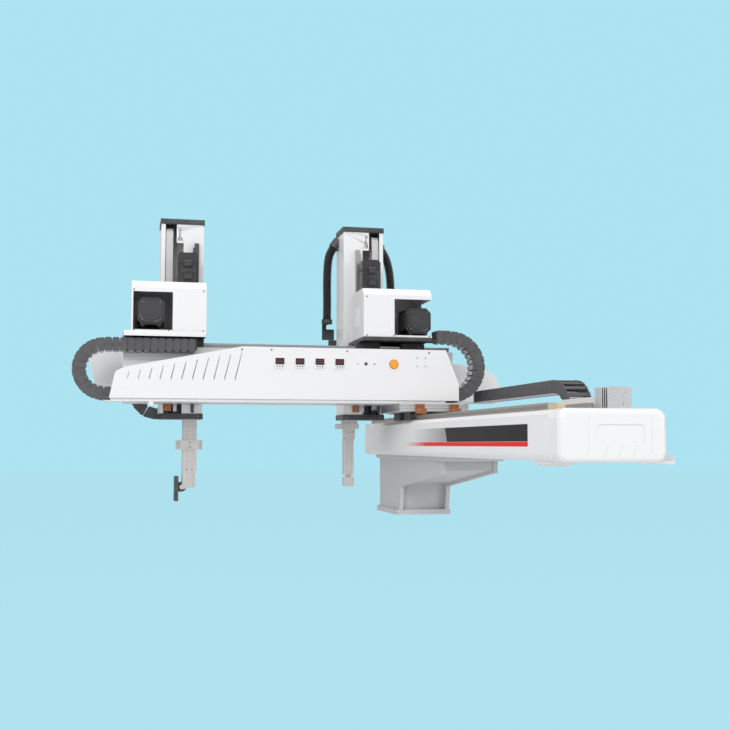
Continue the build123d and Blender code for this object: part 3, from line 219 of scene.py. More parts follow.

# %% [markdown]
# ## Finishes
# White powder coat has a faint orange peel and a soft coat of gloss. Black oxide and the
# moulded chain links are darker and duller, with pale edges that are partly rubbed by hands and tools and
# partly a painted highlight.
# Aluminium and ground steel are bare metal, so their look lies in lines and reflections.
# One function makes all coats and another all metals, so the finishes differ in numbers only.


# %% What all finishes share
def new_material(name):
    """A material with nodes: the material, its tree and its shader."""
    material = bpy.data.materials.new(name)
    material.use_nodes = True
    return material, material.node_tree, material.node_tree.nodes["Principled BSDF"]


def place_group(tree, group, values):
    """The outputs of a node group that was placed with its own values."""
    return add(tree, "Group", values.items(), node_tree=group).outputs


def rgba(color):
    """A colour with its alpha."""
    return (*color, 1.0)


def rub_and_highlight_edges(tree, tint, edge, amount):
    """Paler edges, partly rubbed and partly a painted highlight, in a grey as bright as edge says."""
    values = {"Color": tint, "Edge color": (edge, edge, edge, 1.0), "Amount": amount}
    return place_group(tree, EDGE, values)["Color"]


def feed(tree, shader, tint, texture, roughness, spread, bump, depth):
    """Gives the shader its colour, a gloss that varies about one roughness, and fine relief."""
    tree.links.new(tint, shader.inputs["Base Color"])
    rough = maths(tree, "MULTIPLY_ADD", texture["Gloss break"], spread, roughness - spread / 2)
    tree.links.new(rough, shader.inputs["Roughness"])
    relief = add(tree, "Bump", [("Height", texture["Height"]), ("Strength", bump), ("Distance", depth)])
    tree.links.new(relief.outputs["Normal"], shader.inputs["Normal"])


# %% Coats
# How far the roughness varies, the depth of the relief in metres, and the clear coat's roughness.
COAT_SPREAD, COAT_RELIEF, COAT_ROUGHNESS = 0.08, 0.0006, 0.12


def coated(name, color, roughness, grain, bump, drift, edge=0.0, rubbing_and_highlight=0.0, dust=0.0, coat=0.0, recolor=None):
    """Paint, powder coat, oxide or moulded plastic."""
    material, tree, shader = new_material(name)
    base = rgba(color) if recolor is None else recolor(tree, rgba(color))
    skin = place_group(tree, SKIN, {"Color": base, "Scale": grain, "Drift": drift})
    tint = skin["Color"]
    # Paler edges: partly rubbed paint, partly a painted highlight.
    if rubbing_and_highlight > 0:
        tint = rub_and_highlight_edges(tree, tint, edge, rubbing_and_highlight)
    if dust > 0:
        tint = place_group(tree, DUST, {"Color": tint, "Amount": dust})["Color"]
    feed(tree, shader, tint, skin, roughness, COAT_SPREAD, bump, COAT_RELIEF)
    shader.inputs["Coat Weight"].default_value = coat
    shader.inputs["Coat Roughness"].default_value = COAT_ROUGHNESS
    return material


WHITE_PAINT = (0.86, 0.86, 0.865)
white_coat = coated("white powder coat", WHITE_PAINT, 0.38, 1100, 0.05, 0.02, dust=0.05, coat=0.25)
# The riser is a pale painted casting. Its colour is set well below the white coat, and that darker grey is
# painted shade for a part that sits low and faces down.
pale_casting_with_painted_shade = coated("pale painted casting with painted shade", (0.56, 0.56, 0.572), 0.5, 260, 0.22, 0.06, dust=0.08)
white_moulding = coated("white gloss moulding", (0.88, 0.88, 0.885), 0.24, 1500, 0.02, 0.01, coat=0.5)
# The edge values below give paler edges, partly rubbed and partly a painted highlight.
black_oxide = coated("black oxide", (0.022, 0.022, 0.024), 0.46, 800, 0.06, 0.2,
                     edge=0.2, rubbing_and_highlight=0.5, dust=0.05)
black_paint = coated("black motor paint", (0.028, 0.028, 0.03), 0.42, 420, 0.16, 0.2,
                     edge=0.16, rubbing_and_highlight=0.5, dust=0.04)
chain_nylon = coated("chain nylon", (0.062, 0.062, 0.067), 0.52, 600, 0.1, 0.25,
                     edge=0.22, rubbing_and_highlight=0.35, dust=0.05)
pale_nylon = coated("pale nylon", (0.72, 0.72, 0.72), 0.5, 700, 0.06, 0.05)
conduit_rubber = coated("conduit rubber", (0.012, 0.012, 0.013), 0.3, 500, 0.05, 0.2, coat=0.2)
pale_belt = coated("pale belt backing", (0.62, 0.62, 0.61), 0.55, 500, 0.1, 0.08)
orange_urethane = coated("orange urethane", (0.36, 0.13, 0.04), 0.35, 300, 0.05, 0.15)
beige_urethane = coated("beige urethane", (0.62, 0.5, 0.36), 0.5, 300, 0.08, 0.12)
# Dark plastic for buttons, plugs and dots. On screw heads the same dark is painted shade in the socket's
# hollow.
dark_plastic_and_socket_shade = coated("dark plastic and painted socket shade", (0.008, 0.008, 0.009), 0.6, 500, 0.02, 0.1)
lamp_orange = coated("orange lens", (0.95, 0.38, 0.02), 0.22, 900, 0.02, 0.05, coat=0.6)
screen_glass = coated("dark display", (0.02, 0.016, 0.018), 0.12, 900, 0.0, 0.05, coat=0.8)
digit_red = coated("digit red", (0.3, 0.03, 0.02), 0.4, 900, 0.0, 0.05)
print("coats:", len(bpy.data.materials))

# %% Bare metals
# The last value is the grey of the paler metal edges, partly rubbed bare metal and partly a painted
# highlight.
METAL_SPREAD, METAL_RELIEF, METAL_BUMP, METAL_EDGE = 0.16, 0.0004, 0.05, 0.9
# The pattern's scale on each axis. Lines run along the axis whose scale is small.
ALONG_X, ALONG_Y, ALONG_Z = (6, 900, 900), (900, 6, 900), (900, 900, 6)
COARSE, MIDDLE, FINE = (300, 300, 300), (400, 400, 400), (500, 500, 500)


def metal(name, color, roughness, stretch, contrast=0.18, rubbing_and_highlight=0.0, metallic=1.0):
    """Machined, ground or extruded metal, with lines along one axis or an even grain."""
    material, tree, shader = new_material(name)
    lines = place_group(tree, LINES, {"Color": rgba(color), "Stretch": stretch, "Contrast": contrast})
    tint = lines["Color"]
    # Paler edges: partly rubbed bare metal, partly a painted highlight.
    if rubbing_and_highlight > 0:
        tint = rub_and_highlight_edges(tree, tint, METAL_EDGE, rubbing_and_highlight)
    feed(tree, shader, tint, lines, roughness, METAL_SPREAD, METAL_BUMP, METAL_RELIEF)
    shader.inputs["Metallic"].default_value = metallic
    return material


aluminium_x = metal("extruded aluminium along X", (0.72, 0.73, 0.74), 0.38, ALONG_X, 0.12)
aluminium_y = metal("extruded aluminium along Y", (0.72, 0.73, 0.74), 0.38, ALONG_Y, 0.12)
aluminium_z = metal("anodised aluminium along Z", (0.62, 0.605, 0.58), 0.44, ALONG_Z, 0.3, 0.2, metallic=0.6)
steel_x = metal("ground steel along X", (0.5, 0.5, 0.51), 0.3, ALONG_X)
steel_y = metal("ground steel along Y", (0.46, 0.43, 0.4), 0.36, ALONG_Y, 0.3)
steel_z = metal("ground steel along Z", (0.52, 0.51, 0.5), 0.32, ALONG_Z)
gear_steel = metal("cut gear steel", (0.42, 0.42, 0.43), 0.35, COARSE, 0.3, 0.4)
screw_steel = metal("screw steel", (0.3, 0.3, 0.31), 0.34, FINE, 0.2)
brass = metal("brass", (0.72, 0.55, 0.16), 0.3, MIDDLE, 0.1)
print("finishes:", len(bpy.data.materials))

# %% [markdown]
# ## The stripe on the beam
# A plain black band with a slanted end, a grey fade and a thin red line run along the side
# cover of the traverse beam. They could be thin pieces of mesh on the cover. They are flat,
# printed colour, so they belong in the paint: masks made from the object's own coordinates
# switch the colour, and no second surface lies close to the first.

# %% The striped side cover
# Heights and places along the beam, in metres. The slant is the lean of the band's far end.
COVER_FACE = -0.1262
BAND_LOW, BAND_HIGH, BAND_NEAR, BAND_FAR = 0.260, 0.302, -1.502, -0.84
RED_LOW, RED_HIGH, RED_FADE, RED_END = 0.2475, 0.2595, -0.62, -0.36
SLANT, GREY_END, GREY_START_SHARE = 0.55, -0.45, 0.75
BEYOND_THE_COVER = 2.0
SOFT_EDGE = 0.0004
BAND_BLACK, BAND_GREY, LINE_RED = (0.004, 0.004, 0.005, 1), (0.16, 0.16, 0.165, 1), (0.8, 0.012, 0.012, 1)


def between(tree, value, low, high):
    """1 where the value lies between low and high, and 0 elsewhere."""
    rise = ramp(tree, value, low - SOFT_EDGE, low + SOFT_EDGE)
    fall = ramp(tree, value, high - SOFT_EDGE, high + SOFT_EDGE, 1.0, 0.0)
    return maths(tree, "MULTIPLY", rise, fall)


def stripes(tree, base):
    """The cover's colour, with the band, its fade and the red line on the side that we see."""
    place = add(tree, "TexCoord").outputs["Object"]
    x, y, z = add(tree, "SeparateXYZ", [(0, place)]).outputs
    side = maths(tree, "LESS_THAN", x, COVER_FACE)
    near = between(tree, y, BAND_NEAR, BEYOND_THE_COVER)
    band = maths(tree, "MULTIPLY", between(tree, z, BAND_LOW, BAND_HIGH), side)
    middle = (BAND_LOW + BAND_HIGH) / 2
    slant = maths(tree, "MULTIPLY_ADD", z, SLANT, BAND_FAR - SLANT * middle)
    before = maths(tree, "LESS_THAN", maths(tree, "SUBTRACT", y, slant), 0.0)
    black = maths(tree, "MULTIPLY", maths(tree, "MULTIPLY", band, near), before)
    fade = ramp(tree, y, BAND_FAR, GREY_END, GREY_START_SHARE, 0.0)
    behind = maths(tree, "SUBTRACT", 1.0, before)
    grey = maths(tree, "MULTIPLY", maths(tree, "MULTIPLY", band, fade), behind)
    line = maths(tree, "MULTIPLY", between(tree, z, RED_LOW, RED_HIGH), side)
    red_fade = ramp(tree, y, RED_FADE, RED_END, 1.0, 0.0)
    red = maths(tree, "MULTIPLY", maths(tree, "MULTIPLY", line, near), red_fade)
    color = mix_color(tree, grey, base, BAND_GREY)
    color = mix_color(tree, black, color, BAND_BLACK)
    return mix_color(tree, red, color, LINE_RED)


striped_coat = coated("white coat with stripes", WHITE_PAINT, 0.42, 1100, 0.04, 0.02, dust=0.04,
                      recolor=stripes)
striped_coat.node_tree.nodes["Principled BSDF"].inputs["Specular IOR Level"].default_value = 0.2
print("stripe nodes:", len(striped_coat.node_tree.nodes))

# %% [markdown]
# ## Dressing the CAD parts
# Each CAD part takes one finish. A narrow bevel on folded sheet, castings and machined blocks
# catches the light as a real edge does. It could be cut into the mesh. Here it is a modifier,
# after a weld that joins the CAD's separate faces, so the part's own mesh stays as it is.

# %% Finishes
FINISH = {
    pale_casting_with_painted_shade: ["riser"],
    white_coat: ["traverse_beam", "chain_tray", "front_panel", "rear_panel", "chain_trough", "main_housing",
                 "sub_housing", "main_column", "sub_column"],
    striped_coat: ["beam_side_covers"],
    white_moulding: ["near_end_cover", "far_end_cap"],
    steel_y: ["traverse_rails", "traverse_rack"],
    steel_x: ["crosswise_rails", "crosswise_rack"],
    steel_z: ["sub_column_guides"],
    gear_steel: ["traverse_pinion", "main_crosswise_pinion", "sub_crosswise_pinion", "main_vertical_pinion",
                 "sub_vertical_pinion"],
    beige_urethane: ["rail_stops"],
    orange_urethane: ["carriage_bumpers"],
    aluminium_x: ["crosswise_beam", "carriage_plate"],
    aluminium_y: ["connector_bracket"],
    aluminium_z: ["main_inner_arm", "main_wrist_block", "sub_inner_arm", "main_belt_pulley",
                  "sub_belt_pulley"],
    black_oxide: ["traverse_guide_blocks", "main_saddle", "sub_saddle", "main_column_ends", "sub_column_ends",
                  "main_column_guides", "tool_plate", "panel_instruments"],
    black_paint: ["traverse_motor", "main_crosswise_motor", "sub_crosswise_motor", "main_vertical_motor",
                  "sub_vertical_motor"],
    pale_belt: ["main_belt", "sub_belt"],
    chain_nylon: ["traverse_chain_moving", "traverse_chain_bend", "traverse_chain_fixed",
                  "main_chain_moving", "main_chain_bend", "main_chain_fixed",
                  "sub_chain_moving", "sub_chain_bend", "sub_chain_fixed", "main_arm_chain"],
    conduit_rubber: ["left_conduit", "right_conduit"],
}
for finish, names in FINISH.items():
    for name in names:
        part = nodes[name]
        part.data.materials.clear()
        part.data.materials.append(finish)
dressed = {name for names in FINISH.values() for name in names}
print("dressed:", len(dressed), "left:", sorted(set(nodes) - dressed))

# %% Bevels, in millimetres
BEVEL = {
    "riser": 2.5, "front_panel": 1.0, "rear_panel": 0.8, "main_housing": 1.6, "sub_housing": 1.6,
    "main_column": 1.5, "sub_column": 1.5, "carriage_plate": 1.5, "main_saddle": 1.0, "sub_saddle": 1.0,
    "main_crosswise_motor": 1.2, "sub_crosswise_motor": 1.2, "main_vertical_motor": 1.2,
    "sub_vertical_motor": 1.2, "main_wrist_block": 1.0, "chain_trough": 0.7, "chain_tray": 0.7,
    "connector_bracket": 0.4,
}
# The weld's reach in millimetres, and the angle in degrees from which an edge is bevelled.
WELD_REACH, SHARPER_THAN = 0.02, 40
for name, width in BEVEL.items():
    weld = nodes[name].modifiers.new("weld", "WELD")
    weld.merge_threshold = WELD_REACH * MM
    bevel = nodes[name].modifiers.new("edge", "BEVEL")
    bevel.width = width * MM
    bevel.segments = 2
    bevel.limit_method = "ANGLE"
    bevel.angle_limit = math.radians(SHARPER_THAN)
print("bevelled:", len(BEVEL))

# %% [markdown]
# ## Tools for fine pieces
# The pieces below could be built by hand, or from Blender's own primitives as hundreds of
# objects. A small builder collects boxes, rods and extruded outlines in millimetres, each
# with its own finish, and turns them into one mesh, which is quick and rides on one body.


# %% A mesh builder
class Builder:
    """Collects shapes in millimetres and makes one object of them."""

    def __init__(self, *finishes):
        self.mesh = bmesh.new()
        self.finishes = finishes

    def take(self, part, finish, matrix=None):
        """Adds a finished shape, and frees it."""
        for face in part.faces:
            face.material_index = self.finishes.index(finish)
        if matrix is not None:
            part.transform(matrix)
        data = bpy.data.meshes.new("part")
        part.to_mesh(data)
        part.free()
        self.mesh.from_mesh(data)
        bpy.data.meshes.remove(data)

    def box(self, finish, low, high, bevel=0.0, matrix=None):
        """A box between two corners."""
        part = bmesh.new()
        bmesh.ops.create_cube(part, size=1.0)
        low, high = Vector(low), Vector(high)
        size = high - low
        part.transform(Matrix.Translation((low + high) / 2) @ Matrix.Diagonal((*size, 1.0)))
        if bevel > 0:
            bmesh.ops.bevel(part, geom=part.edges[:], offset=bevel, segments=2, affect="EDGES", profile=0.6)
        self.take(part, finish, matrix)

    def rod(self, finish, start, end, radius, end_radius=None, sides=24, chamfer=0.0):
        """A rod or cone between two points. The chamfer is at its end."""
        part = bmesh.new()
        start, end = Vector(start), Vector(end)
        length = (end - start).length
        bmesh.ops.create_cone(part, cap_ends=True, segments=sides, radius1=radius,
                              radius2=radius if end_radius is None else end_radius, depth=length)
        if chamfer > 0:
            rim = [e for e in part.edges if all(abs(v.co.z - length / 2) < 1e-6 for v in e.verts)]
            bmesh.ops.bevel(part, geom=rim, offset=chamfer, segments=2, affect="EDGES")
        turn = (end - start).to_track_quat("Z", "Y").to_matrix().to_4x4()
        part.transform(Matrix.Translation((start + end) / 2) @ turn)
        self.take(part, finish)

    def prism(self, finish, outline, low, high, matrix=None):
        """An outline of (x, z) points, extruded along Y."""
        part = bmesh.new()
        face = part.faces.new([part.verts.new((x, low, z)) for x, z in outline])
        made = bmesh.ops.extrude_face_region(part, geom=[face])
        moved = [v for v in made["geom"] if isinstance(v, bmesh.types.BMVert)]
        bmesh.ops.translate(part, verts=moved, vec=(0, high - low, 0))
        bmesh.ops.recalc_face_normals(part, faces=part.faces[:])
        self.take(part, finish, matrix)

    def finish_as(self, name, body=None, smooth=35.0):
        """The object, in metres, riding on a body if one is named."""
        data = bpy.data.meshes.new(name)
        bmesh.ops.recalc_face_normals(self.mesh, faces=self.mesh.faces[:])
        self.mesh.transform(Matrix.Scale(MM, 4))
        self.mesh.to_mesh(data)
        self.mesh.free()
        for finish in self.finishes:
            data.materials.append(finish)
        for face in data.polygons:
            face.use_smooth = True
        data.set_sharp_from_angle(angle=math.radians(smooth))
        made = bpy.data.objects.new(name, data)
        bpy.context.scene.collection.objects.link(made)
        if body:
            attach(made, body)
        return made


# %% [markdown]
# ## Energy chains
# Each chain is a string of moulded links: two side plates joined by crossbars, with a pivot
# between neighbours. The chain lies flat, turns over in a half circle and comes back above
# itself. An array along a curve could lay the links, but the bend travels at half the speed
# of the moving end, and a curve would have to change with it. So the bend is a piece of its
# own, and the two straight runs stretch between the bend and the ends they are bolted to.

# %% One link
SIDE_PLATE, LINK_GAP, CORNER_SHARE, BAR_SHARE = 4.5, 0.9, 0.1, 0.72


def chain_link(build, matrix, inner, outer, height, width, inside_bar):
    """One link, with its outside up. Its length differs inside and outside a bend."""
    half_in, half_out = inner / 2 - LINK_GAP / 2, outer / 2 - LINK_GAP / 2
    low, high = -height / 2, height / 2
    cut = height * CORNER_SHARE
    ends = [(-half_in, low + cut), (-half_in + cut, low), (half_in - cut, low), (half_in, low + cut),
            (half_out, high - cut), (half_out - cut, high), (-half_out + cut, high), (-half_out, high - cut)]
    across = width / 2 - SIDE_PLATE
    for side in (-1, 1):
        near, far = sorted((side * width / 2, side * across))
        build.prism(chain_nylon, ends, near, far, matrix)
    bar = min(half_in, half_out) * BAR_SHARE
    build.box(chain_nylon, (-bar, -across, high - 5), (bar, across, high - 1), 0.8, matrix)
    build.box(inside_bar, (-bar, -across, low + 1), (bar, across, low + 4.5), 0.8, matrix)


# %% Runs and bends
CHAIN_PITCH = 24.0
# Each cable's distance from the middle of the chain, and its radius.
CHAIN_CABLES = ((-14, 7), (4, 9), (19, 5))
# The share of its place that a link's outside fills in the bend, and how far it lies inside.
BEND_SHARE, BEND_INSET = 0.985, 1.8


def straight_run(name, base, length, height, width, level, upside):
    """Links in a line from the bend, with the cables that lie in them."""
    build = Builder(chain_nylon, pale_nylon, conduit_rubber)
    count = max(1, round(length / CHAIN_PITCH))
    pitch = length / count
    for link in range(count):
        place = Matrix.Translation(((link + 0.5) * pitch, 0, level + height / 2))
        if not upside:
            place = place @ Matrix.Rotation(math.pi, 4, "X")
        chain_link(build, base @ place, pitch, pitch, height, width, pale_nylon)
    for offset, radius in CHAIN_CABLES:
        for step in range(count * 2):
            start = (step * pitch / 2, offset, level + height / 2)
            end = ((step + 1) * pitch / 2, offset, level + height / 2)
            build.rod(conduit_rubber, base @ Vector(start), base @ Vector(end), radius, sides=10)
    return build.finish_as(name)


def half_turn(name, base, radius, height, width):
    """Links in a half circle. The radius is that of the bend's outside."""
    build = Builder(chain_nylon, pale_nylon)
    count = round(math.pi * (radius - height / 2) / CHAIN_PITCH)
    step = math.pi / count
    inner = 2 * (radius - height) * math.tan(step / 2)
    outer = 2 * radius * math.tan(step / 2) * BEND_SHARE
    for link in range(count):
        angle = math.pi / 2 + (link + 0.5) * step
        out = Matrix.Translation((0, 0, radius)) @ Matrix.Rotation(math.pi / 2 - angle, 4, "Y")
        place = out @ Matrix.Translation((0, 0, radius - height / 2 - BEND_INSET))
        chain_link(build, base @ place, inner, outer, height, width, pale_nylon)
    return build.finish_as(name)


# %% A whole chain
def chain_matrix(origin, along_axis, flip):
    """Chain coordinates to the object: x runs away from the bend, z is up."""
    angle = {"X": 0.0, "Y": math.pi / 2}[along_axis]
    mirror = Matrix.Diagonal((-1 if flip else 1, 1, 1, 1))
    return Matrix.Translation(origin) @ Matrix.Rotation(angle, 4, "Z") @ mirror


def energy_chain(name, base, radius, height, width, upper, lower):
    """The three pieces of one chain, from the bend's radius, the link's height and width, and
    the lengths of its upper and lower runs. At the bend each run has half the mover's speed."""
    moving = straight_run(name + "_links_moving", base, upper, height, width, 2 * radius - height, True)
    bend = half_turn(name + "_links_bend", base, radius, height, width)
    fixed = straight_run(name + "_links_fixed", base, lower, height, width, 0.0, False)
    for piece, role in ((moving, "moving"), (bend, "bend"), (fixed, "fixed")):
        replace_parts(piece, name + "_chain_" + role)
        print(name, role, "faces:", len(piece.data.polygons))
    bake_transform(moving)
    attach(bend, name + "_bend")
    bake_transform(fixed)


# %% The three chains
TRAVERSE_LOW, CROSS_LOW = 213.9, 393.4
traverse_base = chain_matrix((169.5, -1048.0, TRAVERSE_LOW), "Y", False)
energy_chain("traverse", traverse_base, 112.0, 38.0, 71.0, 716.0, 718.0)
main_base = chain_matrix((-1131.0, -385.0, CROSS_LOW), "X", False)
energy_chain("main", main_base, 101.0, 43.0, 60.0, 289.0, 511.0)
sub_base = chain_matrix((23.0, -385.0, CROSS_LOW), "X", True)
energy_chain("sub", sub_base, 124.0, 43.0, 60.0, 48.0, 273.0)

# %% The chain of the main arm's vertical axis
ARM_CHAIN_TOP, QUARTER_LINKS, QUARTER_SHARE, QUARTER_INSET = 601.5, 3, 0.96, 0.4


def arm_chain():
    """Straight down from the saddle, then a quarter turn into the foot of the column."""
    build = Builder(chain_nylon)
    radius, height, width = 92.0, 38.0, 40.0
    centre = Vector((-955.0, -100.0, 433.0))
    count = round((ARM_CHAIN_TOP - centre.z) / CHAIN_PITCH)
    pitch = (ARM_CHAIN_TOP - centre.z) / count
    upright = Matrix.Rotation(-math.pi / 2, 4, "Y")
    for link in range(count):
        spot = (centre.x - radius + height / 2, centre.y, centre.z + (link + 0.5) * pitch)
        chain_link(build, Matrix.Translation(spot) @ upright, pitch, pitch, height, width, chain_nylon)
    step = math.pi / 2 / QUARTER_LINKS
    inner = 2 * (radius - height) * math.tan(step / 2)
    outer = 2 * radius * math.tan(step / 2) * QUARTER_SHARE
    for link in range(QUARTER_LINKS):
        angle = math.pi + (link + 0.5) * step
        out = Matrix.Translation(centre) @ Matrix.Rotation(math.pi / 2 - angle, 4, "Y")
        place = out @ Matrix.Translation((0, 0, radius - height / 2 - QUARTER_INSET))
        chain_link(build, place, inner, outer, height, width, chain_nylon)
    build.box(chain_nylon, (centre.x, centre.y - width / 2, 341), (centre.x + 3.5, centre.y + width / 2, 379))
    return build.finish_as("main_arm_links")


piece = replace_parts(arm_chain(), "main_arm_chain")
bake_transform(piece)
print("arm chain faces:", len(piece.data.polygons))

# %% [markdown]
# ## Corrugated conduits
# Two ribbed black hoses guard the cables of the sub arm. A bevelled curve with a bump texture
# would look smooth at its outline. So a smooth spline gives the line, and rings of points
# round it swell and shrink to make real ribs.

# %% The lines of the conduits
LEFT_ROUTE = [(-319, -62, 977), (-334, -62, 957), (-341, -61, 905), (-342, -60, 840), (-341, -60, 765),
              (-342, -60, 700)]
RIGHT_ROUTE = [(-138, -62, 977), (-122, -62, 957), (-106, -61, 905), (-100, -60, 845), (-101, -60, 768),
               (-100, -60, 700)]


def spline_points(route):
    """Points of a smooth line through space, read from a curve with no thickness."""
    curve = bpy.data.curves.new("route", "CURVE")
    curve.dimensions = "3D"
    spline = curve.splines.new("NURBS")
    spline.points.add(len(route) - 1)
    for point, place in zip(spline.points, route):
        point.co = (*place, 1.0)
    spline.order_u = 3
    spline.use_endpoint_u = True
    spline.resolution_u = 48
    holder = bpy.data.objects.new("route", curve)
    line = bpy.data.meshes.new_from_object(holder)
    points = [v.co.copy() for v in line.vertices]
    bpy.data.objects.remove(holder)
    bpy.data.meshes.remove(line)
    return points


# %% The ribbed hoses
CONDUIT_RADIUS, RIB_PITCH, RIB_DEPTH = 16.5, 6.6, 2.8
RINGS_PER_RIB, HOSE_SIDES = 6, 28


def ribbed_hose(name, route):
    """A closed tube along the route, whose rings swell and shrink once for each rib."""
    points = spline_points(route)
    lengths = [0.0]
    for before, after in zip(points, points[1:]):
        lengths.append(lengths[-1] + (after - before).length)
    total = lengths[-1]
    part = bmesh.new()
    rings, at = [], 0
    count = round(total / RIB_PITCH) * RINGS_PER_RIB
    angles = [2 * math.pi * k / HOSE_SIDES for k in range(HOSE_SIDES)]
    for step in range(count + 1):
        along = total * step / count
        while at < len(points) - 2 and lengths[at + 1] < along:
            at += 1
        share = (along - lengths[at]) / max(1e-6, lengths[at + 1] - lengths[at])
        centre = points[at].lerp(points[at + 1], share)
        ahead = (points[at + 1] - points[at]).normalized()
        side = ahead.cross(Vector((0, 1, 0))).normalized()
        up = side.cross(ahead).normalized()
        wave = math.cos(2 * math.pi * (step % RINGS_PER_RIB) / RINGS_PER_RIB)
        radius = CONDUIT_RADIUS - RIB_DEPTH * (0.5 - 0.5 * wave)
        rings.append([part.verts.new(centre + side * radius * math.cos(a) + up * radius * math.sin(a))
                      for a in angles])
    for before, after in zip(rings, rings[1:]):
        for k in range(HOSE_SIDES):
            following = (k + 1) % HOSE_SIDES
            part.faces.new((before[k], before[following], after[following], after[k]))
    part.faces.new(rings[0])
    part.faces.new(rings[-1])
    build = Builder(conduit_rubber)
    build.take(part, conduit_rubber)
    print(name, "length in mm:", round(total), "ribs:", count // RINGS_PER_RIB)
    return build.finish_as(name, smooth=60)


for side, route in (("left", LEFT_ROUTE), ("right", RIGHT_ROUTE)):
    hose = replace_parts(ribbed_hose(side + "_hose", route), side + "_conduit")
    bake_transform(hose)

# %% [markdown]
# ## Gauges and the orange lamp
# Four digital pressure gauges sit in the front panel: a white bezel, a black window with
# dark red digits, and three buttons. The digits could be an image or text. Each is a nought
# made of six raised bars, so it stays sharp at any distance and needs no font. The round
# orange lamp beside them is a moulded lens in a dark ring.

# %% The digits
GAUGE_FACE = -438.0
DIGIT_FRONT, DIGIT_BACK = GAUGE_FACE - 0.4, GAUGE_FACE - 0.1


def digit(build, x, z):
    """A nought of six bars, 5.4 wide and 9 high."""
    for dx in (-2.2, 2.2):
        for dz in (-2.0, 2.0):
            low = (x + dx - 0.5, DIGIT_FRONT, z + dz - 1.6)
            high = (x + dx + 0.5, DIGIT_BACK, z + dz + 1.6)
            build.box(digit_red, low, high)
    for dz in (-4.0, 4.0):
        build.box(digit_red, (x - 1.7, DIGIT_FRONT, z + dz - 0.5), (x + 1.7, DIGIT_BACK, z + dz + 0.5))


# %% Gauges and lamp
GAUGE_PLACES, LAMP_PLACE, PANEL_ROW = (-570.0, -503.3, -436.6, -369.9), -183.0, 521.0
BEZEL_HALF, BEZEL_BACK, SOCKET_HALF, WINDOW_HALF = 18, -433.1, 14.5, 15


def gauge(build, x, z):
    """The bezel, the body in the panel's opening, the window, three digits and three buttons."""
    build.box(white_moulding, (x - BEZEL_HALF, GAUGE_FACE + 0.4, z - BEZEL_HALF),
              (x + BEZEL_HALF, BEZEL_BACK, z + BEZEL_HALF), 1.2)
    build.box(black_oxide, (x - SOCKET_HALF, BEZEL_BACK, z - SOCKET_HALF),
              (x + SOCKET_HALF, -422, z + SOCKET_HALF), 0.5)
    build.box(screen_glass, (x - WINDOW_HALF, GAUGE_FACE - 0.1, z - 6.5),
              (x + WINDOW_HALF, GAUGE_FACE + 0.8, z + WINDOW_HALF), 0.4)
    for place in (-8.5, 0.0, 8.5):
        digit(build, x + place, z + 4)
        button = (x + place, GAUGE_FACE + 0.8, z - 12)
        build.rod(dark_plastic_and_socket_shade, button, (x + place, GAUGE_FACE - 0.1, z - 12), 2.2, chamfer=0.3, sides=20)


def instruments():
    """The four gauges and the lamp as one piece."""
    build = Builder(white_moulding, screen_glass, digit_red, dark_plastic_and_socket_shade, lamp_orange, black_oxide)
    for x in GAUGE_PLACES:
        gauge(build, x, PANEL_ROW)
    build.rod(black_oxide, (LAMP_PLACE, -425, PANEL_ROW), (LAMP_PLACE, -434.2, PANEL_ROW), 16, sides=48,
              chamfer=0.6)
    build.rod(lamp_orange, (LAMP_PLACE, -433, PANEL_ROW), (LAMP_PLACE, -437, PANEL_ROW), 15, sides=48,
              chamfer=1.6)
    return build.finish_as("gauges_and_lamp", "carriage")


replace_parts(instruments(), "panel_instruments")
print("gauges:", len(GAUGE_PLACES))

# %% [markdown]
# ## Screws
# Socket screws hold the sheet panels, the housings and the end plates, and dark plugs close
# the screw holes along the rails. A real socket could be cut with a boolean, but at this size
# a dark six-sided disc on a chamfered head looks the same and costs few faces; the disc is
# painted shade where the socket's hollow would be. Each set of screws is one object, and all
# of a set ride on one body.


# %% Screw heads and rail plugs
def screw(build, place, axis, radius, height):
    """A head that stands height above its place, with a dark disc painted as the shade in its socket."""
    start, way = Vector(place), Vector(axis)
    build.rod(screw_steel, start - way * 0.4, start + way * height, radius, sides=20, chamfer=radius * 0.14)
    # The dark six-sided disc is painted shade: it stands in for the hollow of the socket.
    socket, rim = start + way * (height - 0.8), start + way * (height + 0.06)
    build.rod(dark_plastic_and_socket_shade, socket, rim, radius * 0.52, sides=6)


def screw_set(name, body, places, axis, radius, height):
    """Screws of one size on one body, as one object."""
    build = Builder(screw_steel, dark_plastic_and_socket_shade)
    for place in places:
        screw(build, place, axis, radius, height)
    print(name, len(places))
    return build.finish_as(name, body)


def rail_plugs(name, body, places, top):
    """Dark discs that close the screw holes of a rail."""
    build = Builder(dark_plastic_and_socket_shade)
    for x, y in places:
        build.rod(dark_plastic_and_socket_shade, (x, y, top - 0.5), (x, y, top + 0.12), 4.6, sides=20)
    print(name, len(places))
    return build.finish_as(name, body)


